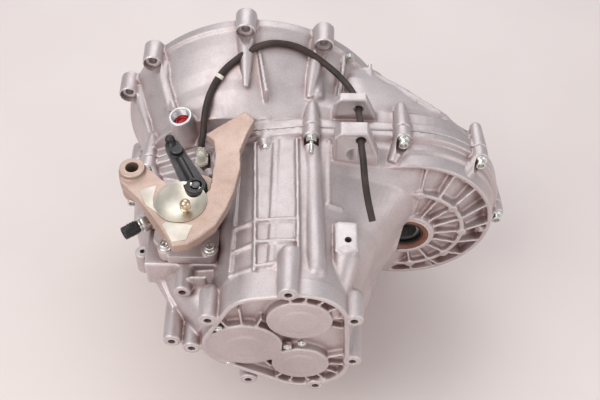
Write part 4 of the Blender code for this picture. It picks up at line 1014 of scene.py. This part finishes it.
def make_selector_cover():
    """The cover with its turret, corner bolts, ribs and the seat of the reverse-light switch."""
    shells = [prism(HOUSING_OUTLINE, 60.6, 74), along_z(SELECTOR_AXIS, 66, 92, 24, 21.5),
              along_z(SELECTOR_AXIS, 60.6, 80, 30, 25),
              rod(SWITCH_AT - SWITCH_WAY * 14, SWITCH_AT + SWITCH_WAY * 9, 12)]
    shells += [along_z(at, 60.6, COVER_BOLT_SEAT, 9.5) for at in COVER_CORNERS]
    for foot, turret_side in (((-98, -208, 80), (-70, -232, 86)), ((-96, -286, 80), (-70, -256, 86))):
        shells += blade((foot, turret_side), 4, 20)
    cast("selector_cover", shells, "cast_aluminium", "housing", ("selector_housing",),
         bores=[along_z(SELECTOR_AXIS, 50, 100, SHAFT_BORE),
                rod(SWITCH_MOUTH - SWITCH_WAY * 8, SWITCH_MOUTH + SWITCH_WAY * 2, 7)],
         voxel=1.0, rounds=4, faces=60000)
    heads = [turned(COVER_BOLT_PROFILE, (*at, COVER_BOLT_SEAT), UP, 6 if index == 0 else 48)
             for index, at in enumerate(COVER_CORNERS)]
    crisp("selector_cover_bolts", heads, "plated_steel", bevel=0.3)


def make_counterweight():
    """The weighted shift lever with its dish, cream pads and ball stud."""
    weight = [prism(COUNTERWEIGHT_OUTLINE, PLATE_BOTTOM, PLATE_TOP), along_z(SELECTOR_AXIS, 106, 128, 27),
              along_z(WEIGHT_BOSS, 102, 146, 17, 15),
              along_z(DISH_AT, PLATE_BOTTOM - 4, PLATE_BOTTOM + 3, 18, 24)]
    weight += ridge(((-138, -236, 131), (-112, -266, 131), (-88, -302, 131)), 8, 9)
    cast("counterweight_casting", weight, "counterweight_iron", "selector",
         ("counterweight",), carve=[ball((*DISH_AT, PLATE_TOP + DISH_HEIGHT), DISH_SPHERE, 64)],
         bores=[along_z(SELECTOR_AXIS, 90, 150, SHAFT_BORE), along_z(WEIGHT_BOSS, 112, 160, 8),
                along_z(BALL_STUD_AT, 100, 150, 4.4)], voxel=1.0, rounds=6, faces=120000)
    crisp("counterweight_dish", [dish()], "pale_gold", body="selector", bevel=0.1)
    pads = [prism(outline, PLATE_TOP - 2, PLATE_TOP + 0.5) for outline in WEIGHT_PAD_OUTLINES]
    crisp("counterweight_pads", pads, "cream_iron", body="selector", bevel=0.4)
    stud = along_z(BALL_STUD_AT, 127, 141, 3.8)
    collar = turned(STUD_COLLAR_PROFILE, (*BALL_STUD_AT, 0), UP)
    crisp("ball_stud", [stud, collar, ball((*BALL_STUD_AT, 143), 6.5, 48)], "gold_steel", body="selector",
          nodes=("shift_ball_stud",), bevel=0.2)


def make_select_lever():
    """The forged lever on the selector shaft, and the shaft's shouldered end."""
    arm = [prism(capsule(SELECTOR_AXIS, LEVER_END, 13.2, 9.2), 129, 138.4),
           along_z(SELECTOR_AXIS, 129, 141, 13.6, 11.5), along_z((-85, -191), 130, 144, 8.5, 6.5),
           rod((-92, -180, 135), (-95.5, -173, 140), 5.5, 4.5),
           ball((-95.5, -173, 141), 6.2)]
    arm += ridge(((-64, -234, 138), (-80, -203, 138)), 4)
    cast("select_lever_forging", arm, "black_steel", "lever", ("select_lever",),
         bores=[along_z(SELECTOR_AXIS, 120, 150, 7.6)], voxel=0.8, rounds=4, faces=60000)
    shaft_end = turned(SHAFT_END_PROFILE, (*SELECTOR_AXIS, 137), UP)
    crisp("select_shaft_end", [shaft_end], "black_steel", body="selector", bevel=0.3)


def make_switch():
    """The reverse-light switch with its hexagon, and its black connector."""
    def reach(distance):
        return SWITCH_MOUTH + SWITCH_WAY * distance

    switch = [rod(reach(-7), reach(1), 6.6), rod(reach(0.3), reach(10), 11, sides=6),
              rod(reach(9), reach(14), 8)]
    crisp("switch_hex", switch, "plated_steel", nodes=("reverse_light_switch",))
    grips = [turned(((8.6, step), (8.6, step + 1.6), (6, step + 1.6), (6, step)), SWITCH_MOUTH, SWITCH_WAY)
             for step in (17, 20.5, 24)]
    shell = turned(CONNECTOR_PROFILE, SWITCH_MOUTH, SWITCH_WAY)
    crisp("switch_connector", [shell, *grips], "black_plastic", nodes=("reverse_light_connector",), bevel=0.3)


def dish():
    """The thin pale lining of the counterweight's round hollow."""
    centre, radius = PLATE_TOP + DISH_HEIGHT, DISH_SPHERE - 0.1
    edge = math.acos((DISH_HEIGHT - 0.2) / radius)
    outer = [(radius * math.sin(turn), centre - radius * math.cos(turn))
             for turn in (edge * step / 16 for step in range(17))]
    inner = [(r, z + 0.5) for r, z in reversed(outer)]
    return turned([*outer, *inner], (*DISH_AT, 0), UP, FINE_SIDES)


def make_nipple():
    """The breather's moulded elbow with its hexagon, and the clip that holds the hose on it."""
    start = Vector(HOSE_ROUTE[0])
    bend = start + Vector((0, 0, 3))
    shapes = [rod(start - Vector((0, 0, 12.4)), bend, 5.6),
              rod(start - Vector((0, 0, 9)), start - Vector((0, 0, 5)), 9, sides=6),
              ball(bend, 5.6), rod(bend, start + Vector((0, 9.2, 3)), 4.4),
              turned(((6.4, 4.4), (6.4, 5.6), (3, 5.6), (3, 4.4)), bend, TOWARDS_ENGINE)]
    crisp("breather_elbow", shapes, "white_plastic", nodes=("breather_nipple",), bevel=0.35)


def hose_bands(hose):
    """The tape round the hose and its spring clip. The hose gets its rubber finish and joins the housing, and
    the CAD hose is hidden.
    """
    for name, index, share, finish, slot, wide in (("hose_tape", 5, 0.8, "white_plastic", "white_plastic", 5),
                                                   ("hose_clip", 0, 0.3, "plated_steel", "plated_steel", 4)):
        here, after = Vector(HOSE_ROUTE[index]), Vector(HOSE_ROUTE[index + 1])
        if index == 0:
            here = here + HOSE_START
        at, way = here.lerp(after, share), (after - here).normalized()
        outer, inner = HOSE_RADIUS + 0.7, HOSE_RADIUS - 0.6
        ring = turned(((outer, -wide / 2), (outer, wide / 2), (inner, wide / 2), (inner, -wide / 2)), at, way)
        crisp(name, [ring], finish, bevel=0.25)
    hose.data.materials.append(FINISHES["hose_rubber"])
    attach(hose, "housing")
    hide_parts("breather_hose")


def finish_frame():
    """Gives every CAD node that stays its own procedural finish."""
    slots = {part["node"]: part["material_slot"] for part in frame["record"]["subparts"]}
    for node, shown in frame["nodes"].items():
        shown.data.materials.clear()
        shown.data.materials.append(FINISHES[slots[node]])


# ---------------------------------------------------------------- studio

def make_studio():
    bpy.context.scene.view_settings.view_transform = "Standard"
    floor = new_object("floor", [prism(((-3000, -3000), (3000, -3000), (3000, 3000), (-3000, 3000)), -10, 0)])
    floor.location.z = -START.z
    pale = Finish("floor_paper", roughness=0.7)
    pale.colour(pale.ramp(pale.noise(3, 3), (0.3, (0.74, 0.66, 0.63)), (0.7, (0.79, 0.71, 0.68))))
    floor.data.materials.append(pale.material)
    sky = bpy.data.worlds.new("studio")
    sky.use_nodes = True
    sky.node_tree.nodes["Background"].inputs["Color"].default_value = (0.93, 0.95, 1.0, 1)
    sky.node_tree.nodes["Background"].inputs["Strength"].default_value = 0.5
    bpy.context.scene.world = sky
    for name, at, size, power, tint in (("key", (-1.0, -0.6, 1.7), 1.6, 20, (1, 0.98, 0.97)),
                                        ("fill", (1.7, -0.7, 1.1), 1.6, 10, (1, 0.95, 0.93)),
                                        ("back", (-0.1, 1.5, 1.9), 1.8, 19, (0.97, 0.98, 1)),
                                        ("low", (0.0, -1.9, 0.35), 1.4, 8, (1, 0.84, 0.80))):
        light = bpy.data.objects.new(name, bpy.data.lights.new(name, "AREA"))
        bpy.context.scene.collection.objects.link(light)
        light.data.size = size
        light.data.energy = power
        light.data.color = tint
        light.location = at
        light.rotation_euler = (Vector((0, 0, 0.2)) - Vector(at)).to_track_quat("-Z", "Y").to_euler()


def main():
    make_camera()
    hose, exit_at, length = make_hose()
    finish_frame()
    make_clutch_housing()
    make_gear_case()
    make_fasteners()
    make_port()
    make_seals()
    make_release()
    make_spline()
    make_selector_cover()
    make_counterweight()
    make_select_lever()
    make_switch()
    make_nipple()
    hose_bands(hose)
    make_studio()


main()
